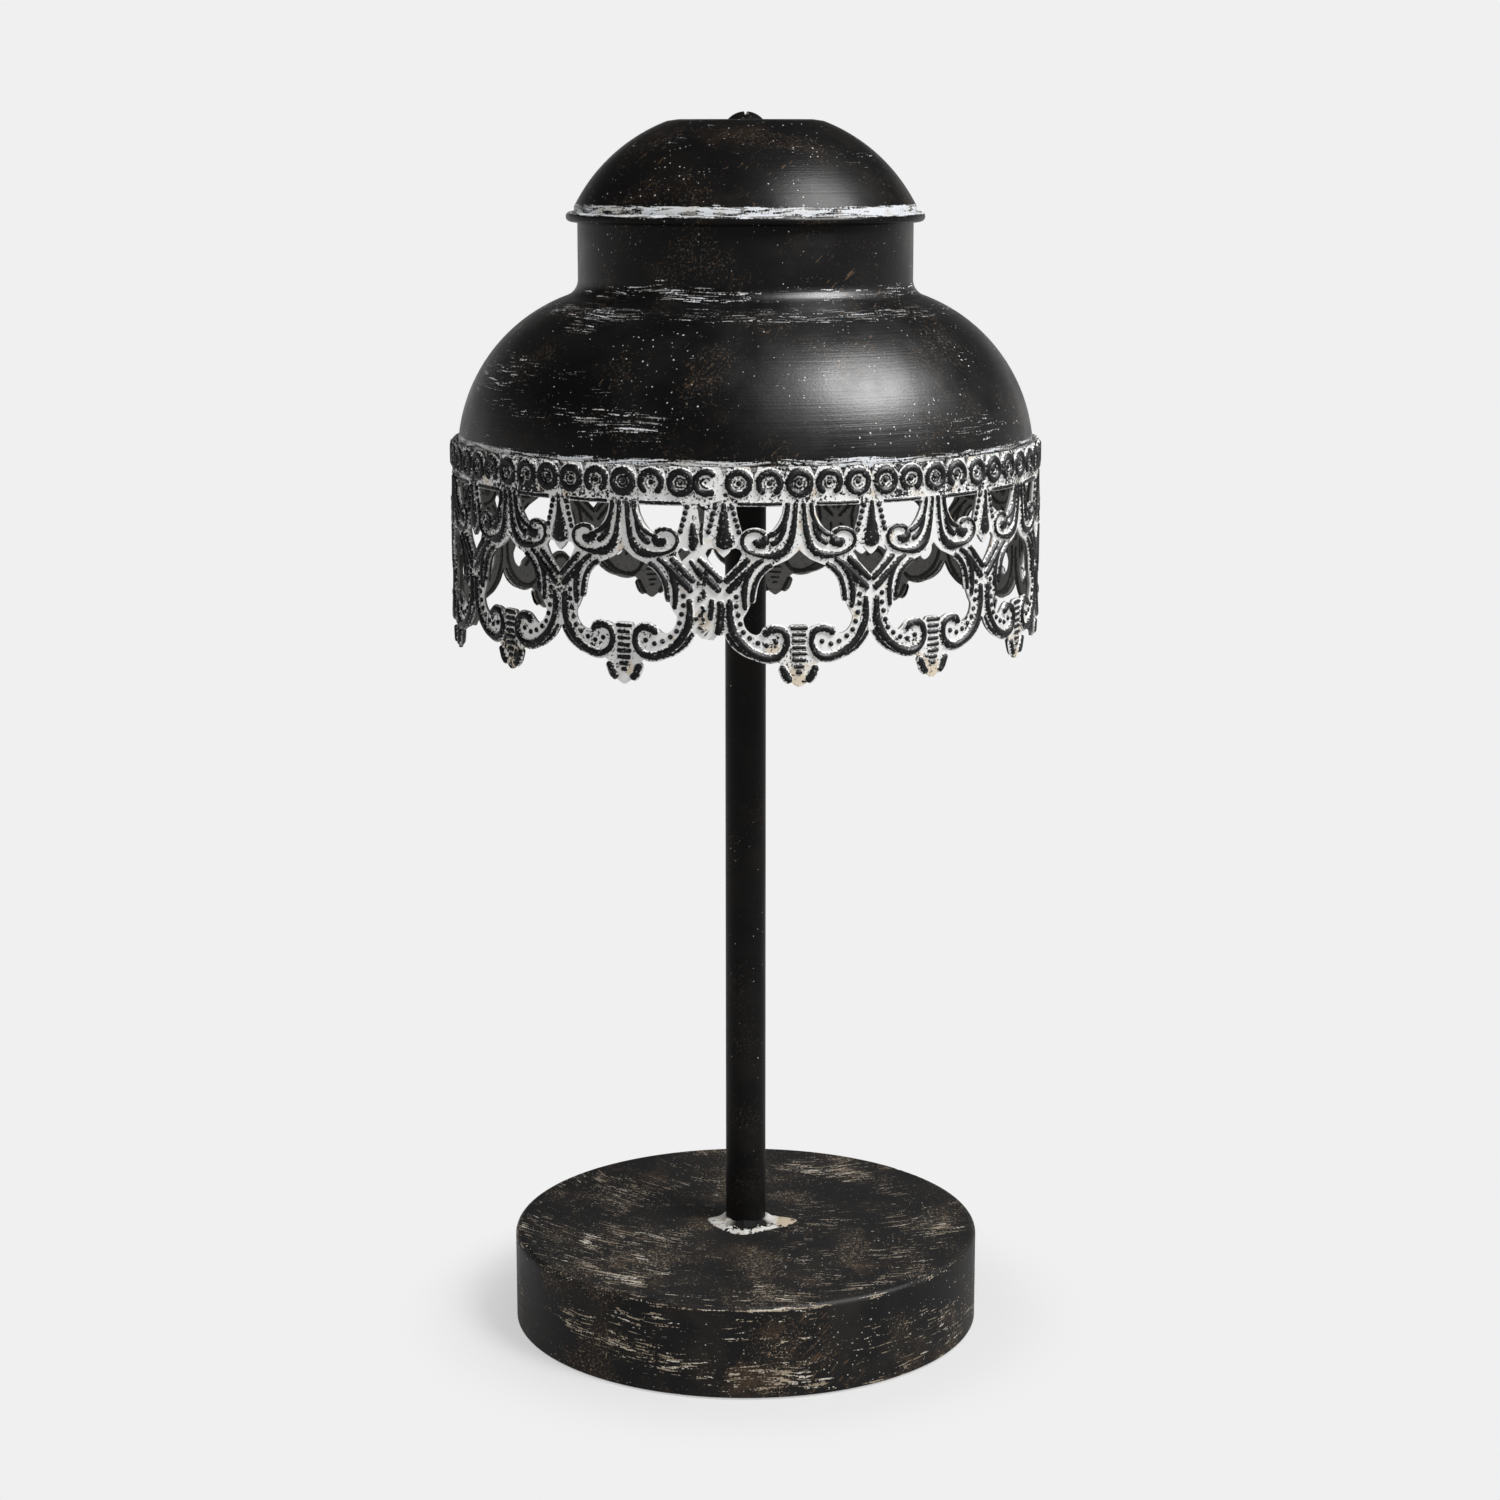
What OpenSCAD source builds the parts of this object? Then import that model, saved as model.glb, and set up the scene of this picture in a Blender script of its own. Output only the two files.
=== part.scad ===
// Battery LED table lantern: a disc base, a tube stem and a spun shade with a stamped metal lace skirt.
// Millimetres, +Z up, origin at the middle of the base on the table. The front is -Y.

/* [Stand] */
// Diameter of the disc base
base_d = 140; // [130:1:180]
// Height of the base's top face above the table
base_h = 28; // [27:0.5:40]
// Sheet thickness of the pressed base shell
base_wall = 1.2; // [0.8:0.1:2]
// Rounding of the base's top edge
base_edge_r = 1.8; // [1.2:0.1:4]
// Gap between the shell's lower rim and the table
rim_gap = 0.6; // [0.3:0.1:1.2]
// Outer diameter of the stem tube
stem_d = 12; // [11:0.5:16]
// Wall of the stem tube
stem_wall = 1; // [0.8:0.1:1.4]
// Width of the weld bead round the foot of the stem
weld_w = 4.2; // [2:0.1:6]
// Height of the weld bead
weld_h = 2.4; // [1:0.1:4]
// Radius of the weld bead's swell
weld_r = 4; // [4:0.1:9]
// Height of the shade's flat top above the table
lamp_h = 358; // [330:1:420]

/* [Shade cap] */
// Sheet thickness of the spun cap and bell
sheet = 0.8; // [0.6:0.1:1.2]
// Diameter of the cap's flat top
cap_flat_d = 42; // [32:1:52]
// Radius of the cap's domed side
cap_arc_r = 49.5; // [47:0.5:70]
// Height from the middle of the rolled bead to the flat top
cap_h = 27.2; // [25:0.1:29]
// Straight skirt of the cap above the bead
cap_skirt_h = 2.8; // [2:0.1:4]
// Thickness of the rolled bead
bead_d = 2.8; // [2:0.1:4]
// How far the bead stands out from the skirt
bead_out = 2.4; // [1.4:0.1:2.6]

/* [Shade bell] */
// Outer diameter of the neck
neck_d = 96.2; // [90:0.2:104]
// Height from the neck fillet's middle to the bead's middle
neck_h = 17.7; // [12:0.1:24]
// Radius of the hollow where the neck meets the bell
neck_fillet_r = 5; // [3:0.5:9]
// Largest outer diameter of the bell
bell_d = 166.4; // [158:0.4:180]
// Radius of the bell's shoulder
shoulder_r = 48.3; // [44:0.1:54]
// Straight part of the bell down to its rim
bell_rim_h = 5.6; // [5:0.1:9]

/* [Lace skirt] */
// Number of motifs round the skirt
lace_cells = 13; // [12:1:15]
// Rings on the band over one motif
rings_per_cell = 5; // [4:1:6]
// Height of the lace from its top edge to its tips
lace_h = 59; // [52:0.5:66]
// Height of the lace's top edge above the bell's rim
lace_over = 10.6; // [9:0.1:12]
// Thickness of the lace's sheet
lace_t = 1; // [0.6:0.1:1.4]
// Extra length where the ends of the strip are lapped, in degrees
lace_lap = 5.1; // [4:0.1:7]
// Place of the lapped joint, in degrees to the right of the front
lace_joint = -6.4; // [-180:0.2:180]

/* [Light] */
// Outer diameter of the light unit's holder
holder_d = 66; // [58:1:76]
// Height of the holder's plate above the bell's rim
holder_up = 33; // [28:0.5:36]
// Number of light-emitting diodes
led_count = 8; // [6:1:12]
// Side of one square diode
led_side = 3.5; // [2.8:0.1:5]
// Circle that the diodes stand on
led_circle_d = 40; // [36:1:44]
// Thickness of circuit boards
board_t = 1.6; // [1:0.1:2]

/* [Battery compartment] */
// Diameter of a battery
cell_d = 14.2; // [13.8:0.1:14.5]
// Length of a battery without its nub
cell_l = 49.2; // [48.5:0.1:50]
// Wall of the moulded battery tray
tray_wall = 1.5; // [1.2:0.1:2]
// Thickness of the base plate
plate_t = 2; // [1.8:0.1:2.6]
// Thickness of the battery door
door_t = 1.8; // [1.4:0.1:2]
// Height of the foam foot ring
foot_h = 2; // [1.8:0.1:3]
// Distance of the foot ring from the base plate's edge
foot_inset = 2.5; // [1:0.5:4]
// Width of the foot ring
foot_w = 10; // [6:0.5:11]
// Distance of the battery tray's middle from the stem, to the left
tray_shift = 10; // [8:0.5:12]
// Distance of the switch from the stem, to the right
switch_x = 37; // [36:0.5:39]
// Diameter of the door's hinge pins
hinge_pin_d = 2; // [1.6:0.1:2.4]
// Travel of the switch knob to each side
switch_travel = 2; // [1.5:0.1:2.5]

/* [Fasteners] */
// Thread of the screw on top
top_screw_d = 4; // [3:0.5:5]
// Head diameter of the screw on top
top_screw_head_d = 10; // [8:0.5:12]
// Head height of the screw on top
top_screw_head_h = 2.2; // [1.8:0.1:3]
// Thread of the base plate's screws
plate_screw_d = 3; // [2.5:0.5:4]
// Running clearance between pieces that slip together
slip = 0.1; // [0.05:0.01:0.15]
// Clearance round pieces that move
play = 0.4; // [0.3:0.05:0.5]

/* [Hidden] */
$fn = 96;
tiny = 0.01;

// Shade, worked down from the flat top
stem_r = stem_d / 2;
stem_bore_r = stem_r - stem_wall;
neck_r = neck_d / 2;
bell_r = bell_d / 2;
skirt_r = neck_r + slip + sheet;
bead_z = lamp_h - cap_h;
skirt_top = bead_z + cap_skirt_h;
neck_drop = 1;
fillet_z = bead_z - neck_h;
fillet_x = neck_r + neck_fillet_r;
shoulder_x = bell_r - shoulder_r;
shoulder_z = fillet_z - sqrt(pow(shoulder_r + neck_fillet_r, 2) - pow(fillet_x - shoulder_x, 2));
rim_z = shoulder_z - bell_rim_h;

// Lace: the ornament is drawn on a cell of drawn_w by drawn_h and stretched to the real cell
drawn_w = 40.5;
drawn_h = 59;
lace_in_r = bell_r + 3 * slip;
lace_out_r = lace_in_r + lace_t;
lace_top = rim_z + lace_over;
lace_pitch = (360 - lace_lap) / lace_cells;
ring_pitch = lace_pitch / rings_per_cell;
stretch_u = 2 * lace_out_r * sin(lace_pitch / 2) / drawn_w;
stretch_v = lace_h / drawn_h;
cut_depth = 12;

// Base
base_r = base_d / 2;
base_in_r = base_r - base_wall;
ceiling_z = base_h - base_wall;
plate_z = foot_h + plate_t;
plate_r = base_in_r - 3 * slip;
foot_out_r = plate_r - foot_inset;
post_d = 8;
post_circle_r = foot_out_r - foot_w - post_d / 2 - 2;
post_angles = [70, 180, 290];
screw_head_h = 1.4;
screw_grip = 8;

// Battery tray, with the batteries side by side across it
cell_count = 3;
hinge_set = 2.4;
cell_gap = 0.8;
tray_x = -tray_shift;
tray_in_w = cell_count * cell_d + (cell_count + 1) * cell_gap;
contact_room = 4.6;
tray_in_l = cell_l + 2 * contact_room;
tray_z = plate_z + 3 * slip;
cell_z = tray_z + cell_gap + cell_d / 2;
tray_top = cell_z + cell_d / 2 + 2 * slip;
flange_w = 3.5;
flange_t = 1.2;
flange_back = 8;
door_over = 2;
door_w = hinge_set + tray_in_w + 2 * tray_wall + door_over;
door_l = tray_in_l + 2 * tray_wall;
hinge_x = tray_x - tray_in_w / 2 - tray_wall - hinge_set;
barrel_r = hinge_pin_d / 2 + 0.8;
hinge_z = foot_h + 3 * slip + barrel_r;
ear_w = 5;
ear_h = hinge_pin_d + 3;
pin_l = 2.4;
pin_end_gap = 0.6;
scoop_r = 9;
scoop_depth = 1;

// Switch and control board beside the tray
knob_w = 3.6;
knob_l = 4;
slide_plate_w = 7;
slide_plate_t = 1;
switch_z = plate_z + play + slide_plate_t + play;
switch_h = 4;
board_z = switch_z + switch_h;
board_w = 22;
board_l = 40;
board_post_y = 15;
board_post_d = 6;
board_screw_d = 2;

// Light unit on the stem
holder_z = rim_z + holder_up;
holder_t = 2;
holder_wall = 1.2;
holder_skirt = 7;
hub_r = stem_r + 3.5;
hub_h = 10;
holder_screw_d = 3;
holder_screw_z = holder_z + 0.6 * hub_h;
board_out_r = holder_d / 2 - holder_wall - 1.8;
board_in_r = hub_r + 0.5;
led_t = 1;
diffuser_t = 1.2;
diffuser_drop = 9;
diffuser_round = 5;
wire_d = 1.3;
wire_y = 1.2;
wire_hole_d = 5;
wire_hole_z = holder_z + hub_h + 7;
wire_drop_x = hub_r + 4;

// Top of the stem
washer_d = 26;
washer_t = 1.5;
stem_top = lamp_h - sheet - washer_t;
stem_foot = ceiling_z - 1;
plug_l = 14;
slot_w = 1.2;
slot_depth = 0.9;
slot_turn = 8;

metal_black = [0.05, 0.05, 0.055];
lace_grey = [0.55, 0.55, 0.53];
bare_steel = [0.62, 0.62, 0.6];
moulded_black = [0.09, 0.09, 0.1];
moulded_white = [0.9, 0.9, 0.88];
board_green = [0.1, 0.32, 0.18];

// Points and curves

function unit(v) = v / norm(v);

// Catmull-Rom curve through a list of points, with a number of steps between neighbours
function curve(p, steps) = [
    for (i = [0 : len(p) - 2]) for (k = [0 : steps - 1])
        let (a = p[max(i - 1, 0)], b = p[i], c = p[i + 1], d = p[min(i + 2, len(p) - 1)], t = k / steps)
        b + 0.5 * t * ((c - a) + t * ((2 * a - 5 * b + 4 * c - d) + t * (3 * b - a - 3 * c + d))),
    p[len(p) - 1]
];

// Half an outline and its mirror image, as one closed outline
function mirrored(p) = concat(p, [for (i = [len(p) - 1 : -1 : 0]) if (p[i].x > tiny) [-p[i].x, p[i].y]]);

// A point drawn on the ornament's cell, counted down from the lace's top edge, at its real size
function on_lace(p) = [p.x * stretch_u, lace_top - p.y * stretch_v];

// Middle of the circle of a given radius through two points, on the side nearer the axis
function arc_middle(p, q, radius) =
    let (m = (p + q) / 2, d = q - p, h = sqrt(radius * radius - d * d / 4)) m + h * unit([d.y, -d.x]);

module ring(inner_r, outer_r, z, h) {
    translate([0, 0, z]) difference() {
        cylinder(r = outer_r, h = h);
        translate([0, 0, -tiny]) cylinder(r = inner_r, h = h + 2 * tiny);
    }
}

// A round tube along a path; side points the rings' first axis and is never along the path
module tube(path, d, side, sides) {
    last = len(path) - 1;
    rings = [
        for (i = [0 : last])
            let (along = unit(path[min(i + 1, last)] - path[max(i - 1, 0)]))
            let (a = unit(cross(side, along)), b = cross(along, a))
            for (k = [0 : sides - 1])
                path[i] + d / 2 * (cos(360 * k / sides) * a + sin(360 * k / sides) * b)
    ];
    walls = [
        for (i = [0 : last - 1]) for (k = [0 : sides - 1])
            let (m = (k + 1) % sides, p = i * sides, q = p + sides)
            each [[p + k, q + k, p + m], [p + m, q + k, q + m]]
    ];
    caps = [
        for (k = [1 : sides - 2])
            let (end = last * sides)
            each [[0, k, k + 1], [end, end + k + 1, end + k]]
    ];
    polyhedron(points = rings, faces = concat(walls, caps), convexity = 6);
}

// Base

// Outline of a cup turned upside down, from the axis to its wall
module cup_outline(r, bottom, top, edge_r) {
    translate([0, bottom]) square([r - edge_r, top - bottom]);
    translate([0, bottom]) square([r, top - edge_r - bottom]);
    translate([r - edge_r, top - edge_r]) circle(edge_r);
}

module base_shell() {
    color(metal_black) difference() {
        rotate_extrude() difference() {
            intersection() {
                cup_outline(base_r, rim_gap, base_h, base_edge_r);
                square([base_r, base_h]);
            }
            translate([0, rim_gap]) square([base_in_r, ceiling_z - rim_gap]);
        }
        cylinder(r = stem_r + slip / 2, h = base_h + 1);
    }
}

module weld_bead() {
    inner_r = stem_r + slip / 2;
    top = [inner_r, base_h + weld_h];
    toe = [inner_r + weld_w, base_h];
    color(lace_grey) rotate_extrude() intersection() {
        translate([inner_r, base_h]) square([weld_w, weld_h]);
        translate(arc_middle(top, toe, weld_r)) circle(weld_r);
    }
}

module at_posts() {
    for (a = post_angles) rotate([0, 0, a]) translate([post_circle_r, 0, 0]) children();
}

module base_posts() {
    color(bare_steel) at_posts()
        ring((plate_screw_d + slip) / 2, post_d / 2, plate_z, ceiling_z - plate_z);
}

module plate_screws() {
    color(bare_steel) at_posts() {
        translate([0, 0, foot_h - screw_head_h]) cylinder(d = 2 * plate_screw_d - 0.5, h = screw_head_h);
        translate([0, 0, foot_h - tiny]) cylinder(d = plate_screw_d, h = plate_t + screw_grip);
    }
}

module foot_ring() {
    color([0.16, 0.16, 0.16]) ring(foot_out_r - foot_w, foot_out_r, 0, foot_h);
}

// Outline of the door's opening in the base plate
module door_hole(grow) {
    low = hinge_x - barrel_r - grow;
    translate([low, -door_l / 2 - grow]) square([door_w + hinge_x - low + grow, door_l + 2 * grow]);
}

module at_ears() {
    for (side = [-1, 1]) translate([hinge_x, side * (door_l / 2 + play + ear_w / 2), 0]) children();
}

module at_board_posts() {
    for (side = [-1, 1]) translate([switch_x, side * board_post_y, 0]) children();
}

module base_plate() {
    color(moulded_black) difference() {
        union() {
            translate([0, 0, foot_h]) cylinder(r = plate_r, h = plate_t);
            at_ears() translate([-ear_w / 2, -ear_w / 2, foot_h]) cube([ear_w, ear_w, ear_h]);
            at_board_posts() translate([0, 0, plate_z - tiny])
                cylinder(d = board_post_d, h = board_z - plate_z + tiny);
        }
        translate([0, 0, -tiny]) linear_extrude(height = plate_z + 2 * tiny) door_hole(play);
        at_posts() cylinder(d = plate_screw_d + 2 * slip, h = plate_z + 1);
        at_board_posts() translate([0, 0, plate_z]) cylinder(d = board_screw_d + slip, h = board_z);
        translate([hinge_x, 0, hinge_z]) rotate([90, 0, 0])
            cylinder(d = hinge_pin_d + slip, h = door_l + 2 * (play + pin_l + pin_end_gap), center = true);
        // Slot that the switch knob slides in
        translate([switch_x - knob_w / 2 - play, -knob_l / 2 - switch_travel - play, 0])
            cube([knob_w + 2 * play, knob_l + 2 * (switch_travel + play), plate_z + 1]);
        // Finger notch at the door's free edge
        translate([hinge_x + door_w + play, 0, foot_h + scoop_depth - scoop_r]) sphere(r = scoop_r);
    }
}

// Battery compartment

module battery_tray() {
    out_w = tray_in_w + 2 * tray_wall;
    out_l = tray_in_l + 2 * tray_wall;
    roof = tray_top + tray_wall;
    color(moulded_black) difference() {
        union() {
            translate([tray_x - out_w / 2, -out_l / 2, tray_z]) cube([out_w, out_l, roof - tray_z]);
            // Flange that lies on the base plate, clear of the hinge
            translate([tray_x - out_w / 2 + flange_back, -out_l / 2 - flange_w, plate_z])
                cube([out_w - flange_back + door_over + flange_w, out_l + 2 * flange_w, flange_t]);
        }
        translate([tray_x - tray_in_w / 2, -tray_in_l / 2, tray_z - 1])
            cube([tray_in_w, tray_in_l, tray_top - tray_z + 1]);
        translate([0, 0, -tiny]) linear_extrude(height = tray_z + tiny) door_hole(play);
        // Slots in the roof for the two solder tabs
        for (side = [-1, 1])
            translate([cell_x(cell_count - 1), side * (tray_in_l - tab_slot) / 2, tray_top + tray_wall / 2])
                cube([tab_w + 1, tab_slot, tray_wall + 1], center = true);
    }
}

function cell_x(i) = tray_x + (i - (cell_count - 1) / 2) * (cell_d + cell_gap);

// Which end of a battery its nub is on
function cell_way(i) = i % 2 == 0 ? 1 : -1;

nub_d = 5.4;
nub_l = 1.2;
cell_edge = 0.8;

module battery(i) {
    color(i == 1 ? [0.75, 0.6, 0.2] : [0.7, 0.56, 0.2])
        translate([cell_x(i), 0, cell_z]) rotate([90 * -cell_way(i), 0, 0]) rotate_extrude() {
            translate([0, -cell_l / 2]) square([cell_d / 2 - cell_edge, cell_l]);
            translate([0, -cell_l / 2 + cell_edge]) square([cell_d / 2, cell_l - 2 * cell_edge]);
            for (side = [-1, 1])
                translate([cell_d / 2 - cell_edge, side * (cell_l / 2 - cell_edge)]) circle(cell_edge);
            translate([0, cell_l / 2 - tiny]) square([nub_d / 2, nub_l + tiny]);
        }
}

contact_t = 0.5;
contact_w = 9;
dimple_d = 6;
tab_w = 3;
tab_out = 2.5;
tab_slot = 2;
spring_wire_d = 0.7;
spring_turns = 3;
spring_steps = 8;
spring_r = 3.2;
spring_taper = 0.3;

// The contacts at one end of one battery, with the battery's axis as the origin
module contact(i, side) {
    wall_y = side * (tray_in_l - contact_t) / 2;
    translate([-contact_w / 2, wall_y - contact_t / 2, -contact_w / 2]) cube([contact_w, contact_t, contact_w]);
    // Pressed dimple that the battery's nub touches
    if (side == cell_way(i))
        translate([0, wall_y, 0]) rotate([90 * side, 0, 0])
            cylinder(d = dimple_d, h = contact_room - contact_t / 2 - nub_l - slip);
    // Solder tab through the tray's roof
    if (i == cell_count - 1)
        translate([-tab_w / 2, wall_y - contact_t / 2, 0])
            cube([tab_w, contact_t, tray_top + tray_wall + tab_out - cell_z]);
}

module contact_plates() {
    color(bare_steel) for (i = [0 : cell_count - 1], side = [-1, 1])
        translate([cell_x(i), 0, cell_z]) contact(i, side);
}

// Points of one coil spring, from its plate to the battery's flat end
function spring_path(i) =
    let (steps = spring_steps * spring_turns, side = -cell_way(i))
    let (far = tray_in_l / 2 - contact_t - spring_wire_d / 2, near = (cell_l + spring_wire_d) / 2)
    [for (k = [0 : steps]) let (t = k / steps, a = 360 * k / spring_steps)
        [cell_x(i) + coil_r(t) * cos(a), side * (far + (near - far) * t), cell_z + coil_r(t) * sin(a)]];

// Radius of a spring a part of the way to the battery
function coil_r(t) = spring_r * (1 - spring_taper * t);

spring_points = spring_path(0);
spring_turn_gaps = [
    for (k = [spring_steps : len(spring_points) - 1])
        norm(spring_points[k] - spring_points[k - spring_steps]) - spring_wire_d
];
echo(least_gap_between_spring_turns = min(spring_turn_gaps));

module contact_springs() {
    color(bare_steel) for (i = [0 : cell_count - 1]) tube(spring_path(i), spring_wire_d, [0, 1, 0], 6);
}

grip_w = 1.1;
grip_l = 18;
grip_depth = 0.5;
grip_pitch = 2.4;
grip_count = 4;

module battery_door() {
    door_z = foot_h + 3 * slip;
    color(moulded_black) difference() {
        union() {
            translate([hinge_x, -door_l / 2, door_z]) cube([door_w - play, door_l, door_t]);
            translate([hinge_x, 0, hinge_z]) rotate([90, 0, 0]) {
                cylinder(r = barrel_r, h = door_l, center = true);
                cylinder(d = hinge_pin_d, h = door_l + 2 * (play + pin_l), center = true);
            }
        }
        // Grip grooves near the free edge
        for (k = [0 : grip_count - 1])
            translate([hinge_x + door_w - 2 * play - grip_pitch * (k + 2), -grip_l / 2, door_z - 1])
                cube([grip_w, grip_l, 1 + grip_depth]);
    }
}

// Switch and control board

chip_size = [5, 6, 1.6];
chip_y = -5;
capacitor_d = 5;
capacitor_h = 5.5;

module control_board() {
    top = board_z + board_t - tiny;
    color(board_green) difference() {
        translate([switch_x - board_w / 2, -board_l / 2, board_z]) cube([board_w, board_l, board_t]);
        at_board_posts() translate([0, 0, board_z - 1]) cylinder(d = board_screw_d + 4 * slip, h = board_t + 2);
    }
    // Timer chip and a smoothing capacitor
    color(moulded_black) translate([switch_x - chip_size.x / 2, chip_y, top]) cube(chip_size);
    color(bare_steel) translate([switch_x + capacitor_d, capacitor_d, top])
        cylinder(d = capacitor_d, h = capacitor_h);
}

module board_screws() {
    grip = board_z - switch_z;
    color(bare_steel) at_board_posts() {
        translate([0, 0, board_z + board_t]) cylinder(d = 2 * board_screw_d, h = screw_head_h);
        translate([0, 0, board_z - grip]) cylinder(d = board_screw_d, h = grip + board_t + tiny);
    }
}

peg_w = 1.6;
peg_l = 2;
peg_h = 1.4;
can_w = 4.8;
can_l = 13;

module switch_body() {
    slot_l = peg_l + 2 * (switch_travel + play);
    color(bare_steel) difference() {
        translate([switch_x - can_w / 2, -can_l / 2, switch_z]) cube([can_w, can_l, switch_h]);
        translate([switch_x - peg_w / 2 - play, -slot_l / 2, switch_z - 1])
            cube([peg_w + 2 * play, slot_l, 1 + peg_h + play]);
    }
}

module switch_slider() {
    knob_z = foot_h / 2;
    slide_z = plate_z + play;
    slide_l = knob_l + 4 * (switch_travel + play);
    color(moulded_white) translate([switch_x, 0, 0]) {
        translate([-knob_w / 2, -knob_l / 2, knob_z]) cube([knob_w, knob_l, slide_z - knob_z + tiny]);
        translate([-slide_plate_w / 2, -slide_l / 2, slide_z]) cube([slide_plate_w, slide_l, slide_plate_t]);
        translate([-peg_w / 2, -peg_l / 2, slide_z + slide_plate_t - tiny]) cube([peg_w, peg_l, play + peg_h]);
    }
}

battery_wire_y = 9;

module battery_wires() {
    roof = tray_top + tray_wall;
    color([0.6, 0.1, 0.1]) for (side = [-1, 1]) {
        tab_x = cell_x(cell_count - 1) + tab_w / 2;
        start = [tab_x + slip, side * (tray_in_l - contact_t) / 2, roof + tab_out / 2];
        finish = [switch_x - board_w / 2 + 2, side * battery_wire_y, board_z + board_t];
        bend = [finish.x - 3, side * 22, roof];
        route = [start, start + [3, 0, 0], bend, finish + [0, 2 * side, 6], finish];
        tube(curve(route, 3), wire_d, unit([1, side, 0]), 8);
    }
}

// Stem and top fixing

module stem() {
    color(metal_black) difference() {
        ring(stem_bore_r, stem_r, stem_foot, stem_top - stem_foot);
        translate([0, 0, wire_hole_z]) rotate([0, 90, 0]) cylinder(d = wire_hole_d, h = stem_d);
    }
}

module stem_plug() {
    color(bare_steel) ring(top_screw_d / 2 + slip / 2, stem_bore_r - slip / 2, stem_top - plug_l, plug_l);
}

module seat_washer() {
    color(bare_steel) ring(top_screw_d / 2 + 2 * slip, washer_d / 2, stem_top, washer_t);
}

module top_screw() {
    head_r = top_screw_head_d / 2;
    head_h = top_screw_head_h;
    dome_r = (head_r * head_r + head_h * head_h) / (2 * head_h);
    foot = stem_top - plug_l + 1;
    color(metal_black) difference() {
        union() {
            translate([0, 0, lamp_h]) rotate_extrude() intersection() {
                translate([0, head_h - dome_r]) circle(dome_r);
                square([head_r, head_h]);
            }
            translate([0, 0, foot]) cylinder(d = top_screw_d, h = lamp_h - foot + tiny);
        }
        rotate([0, 0, slot_turn]) translate([-slot_w / 2, -head_r - 1, lamp_h + head_h - slot_depth])
            cube([slot_w, 2 * head_r + 2, slot_depth + 1]);
    }
}

// Shade

// Everything within the cap's surface, or that far inside it
module cap_outline(inset) {
    flat = [cap_flat_d / 2, lamp_h];
    edge = [skirt_r, skirt_top];
    intersection() {
        translate(arc_middle(flat, edge, cap_arc_r)) circle(cap_arc_r - inset);
        translate([0, skirt_top]) square([skirt_r, lamp_h - inset - skirt_top]);
    }
    translate([0, bead_z - inset]) square([skirt_r - inset, cap_skirt_h + inset + tiny]);
}

module shade_cap() {
    color(metal_black) rotate_extrude() {
        difference() {
            cap_outline(0);
            cap_outline(sheet);
            square([top_screw_d / 2 + 2 * slip, lamp_h + 1]);
        }
        translate([skirt_r - bead_d / 2 + bead_out, bead_z]) circle(d = bead_d);
    }
}

// Everything within the bell's surface, or that far inside it
module bell_outline(inset) {
    low = rim_z - inset;
    translate([0, low]) square([neck_r - inset, skirt_top - neck_drop + inset - low]);
    translate([0, low]) square([bell_r - inset, shoulder_z - low]);
    intersection() {
        translate([shoulder_x, shoulder_z]) circle(shoulder_r - inset);
        translate([0, shoulder_z - tiny]) square([bell_r, shoulder_r]);
    }
    difference() {
        polygon([[0, shoulder_z], [shoulder_x, shoulder_z], [fillet_x, fillet_z], [0, fillet_z]]);
        translate([fillet_x, fillet_z]) circle(neck_fillet_r + inset);
    }
}

module shade_bell() {
    color(metal_black) rotate_extrude() difference() {
        bell_outline(0);
        bell_outline(sheet);
    }
}

// Lace skirt: the ornament's openings are drawn on one cell, from the middle out to the right,
// and counted down from the top edge

crown_hole = [
    [0, 22], [3, 24.6], [8, 26.7], [10.5, 28.7], [12, 31.5], [12.6, 35], [13.2, 36.6], [14.2, 38.8],
    [15.1, 40.3], [14.7, 42.4], [13.4, 44.1], [11.4, 44.9], [10, 43.8], [8.4, 42.5], [6.2, 42.1],
    [4.2, 42.6], [2.9, 43.1], [2.3, 42.3], [0, 42.2]
];
leaf_hole = [
    [17, 10.4], [16.6, 13], [15.9, 15.5], [15.3, 17.6], [14.2, 16.9], [12.5, 16.4], [10.9, 16.5],
    [9.6, 17], [8.6, 17.7], [7.3, 17], [5.8, 15], [4.7, 12.8], [4.2, 10.4]
];
heart_hole = [[0, 24], [1.3, 22.9], [2.1, 21.8], [3.2, 21.4], [4.4, 21.9], [5, 23], [3.9, 25.3], [0, 30.4]];
// The lower edge goes from the notch between two motifs to the tip of a tail
lower_edge = [
    [0, 44.4], [1.05, 45.3], [1.95, 46.8], [3.45, 48.4], [6.85, 50.7], [11.45, 51.8], [14.75, 52.3],
    [15.75, 53.8], [16.25, 55.5], [17.25, 57.1], [18.75, 58.3], [20, 59.2]
];
joint_hole = [[-3.4, 10.4], [-1.2, 10.4], [-1.6, 15.8], [-2.6, 16.4]];
joint_edge = [[-3.6, 44.5], [-2.4, 45.8], [1, 46.3], [1.9, 45], [3.6, 44.5]];
notch = [[-1.6, -1], [1.6, -1], [0, 2.6]];
below = drawn_h + 3;
joint_half_u = lace_out_r * sin(lace_lap / 2) / stretch_u;

// Angle where a motif starts; half numbers give the motifs' middles
function motif_angle(i) = lace_joint + lace_lap / 2 + lace_pitch * i;

// A flat cut through the lace's wall, facing out at an angle to the right of the front
module lace_cut(angle, outline) {
    rotate([0, 0, angle]) rotate([90, 0, 0]) translate([0, 0, lace_in_r - cut_depth / 2])
        linear_extrude(height = cut_depth + lace_t) polygon([for (p = outline) on_lace(p)]);
}

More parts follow.
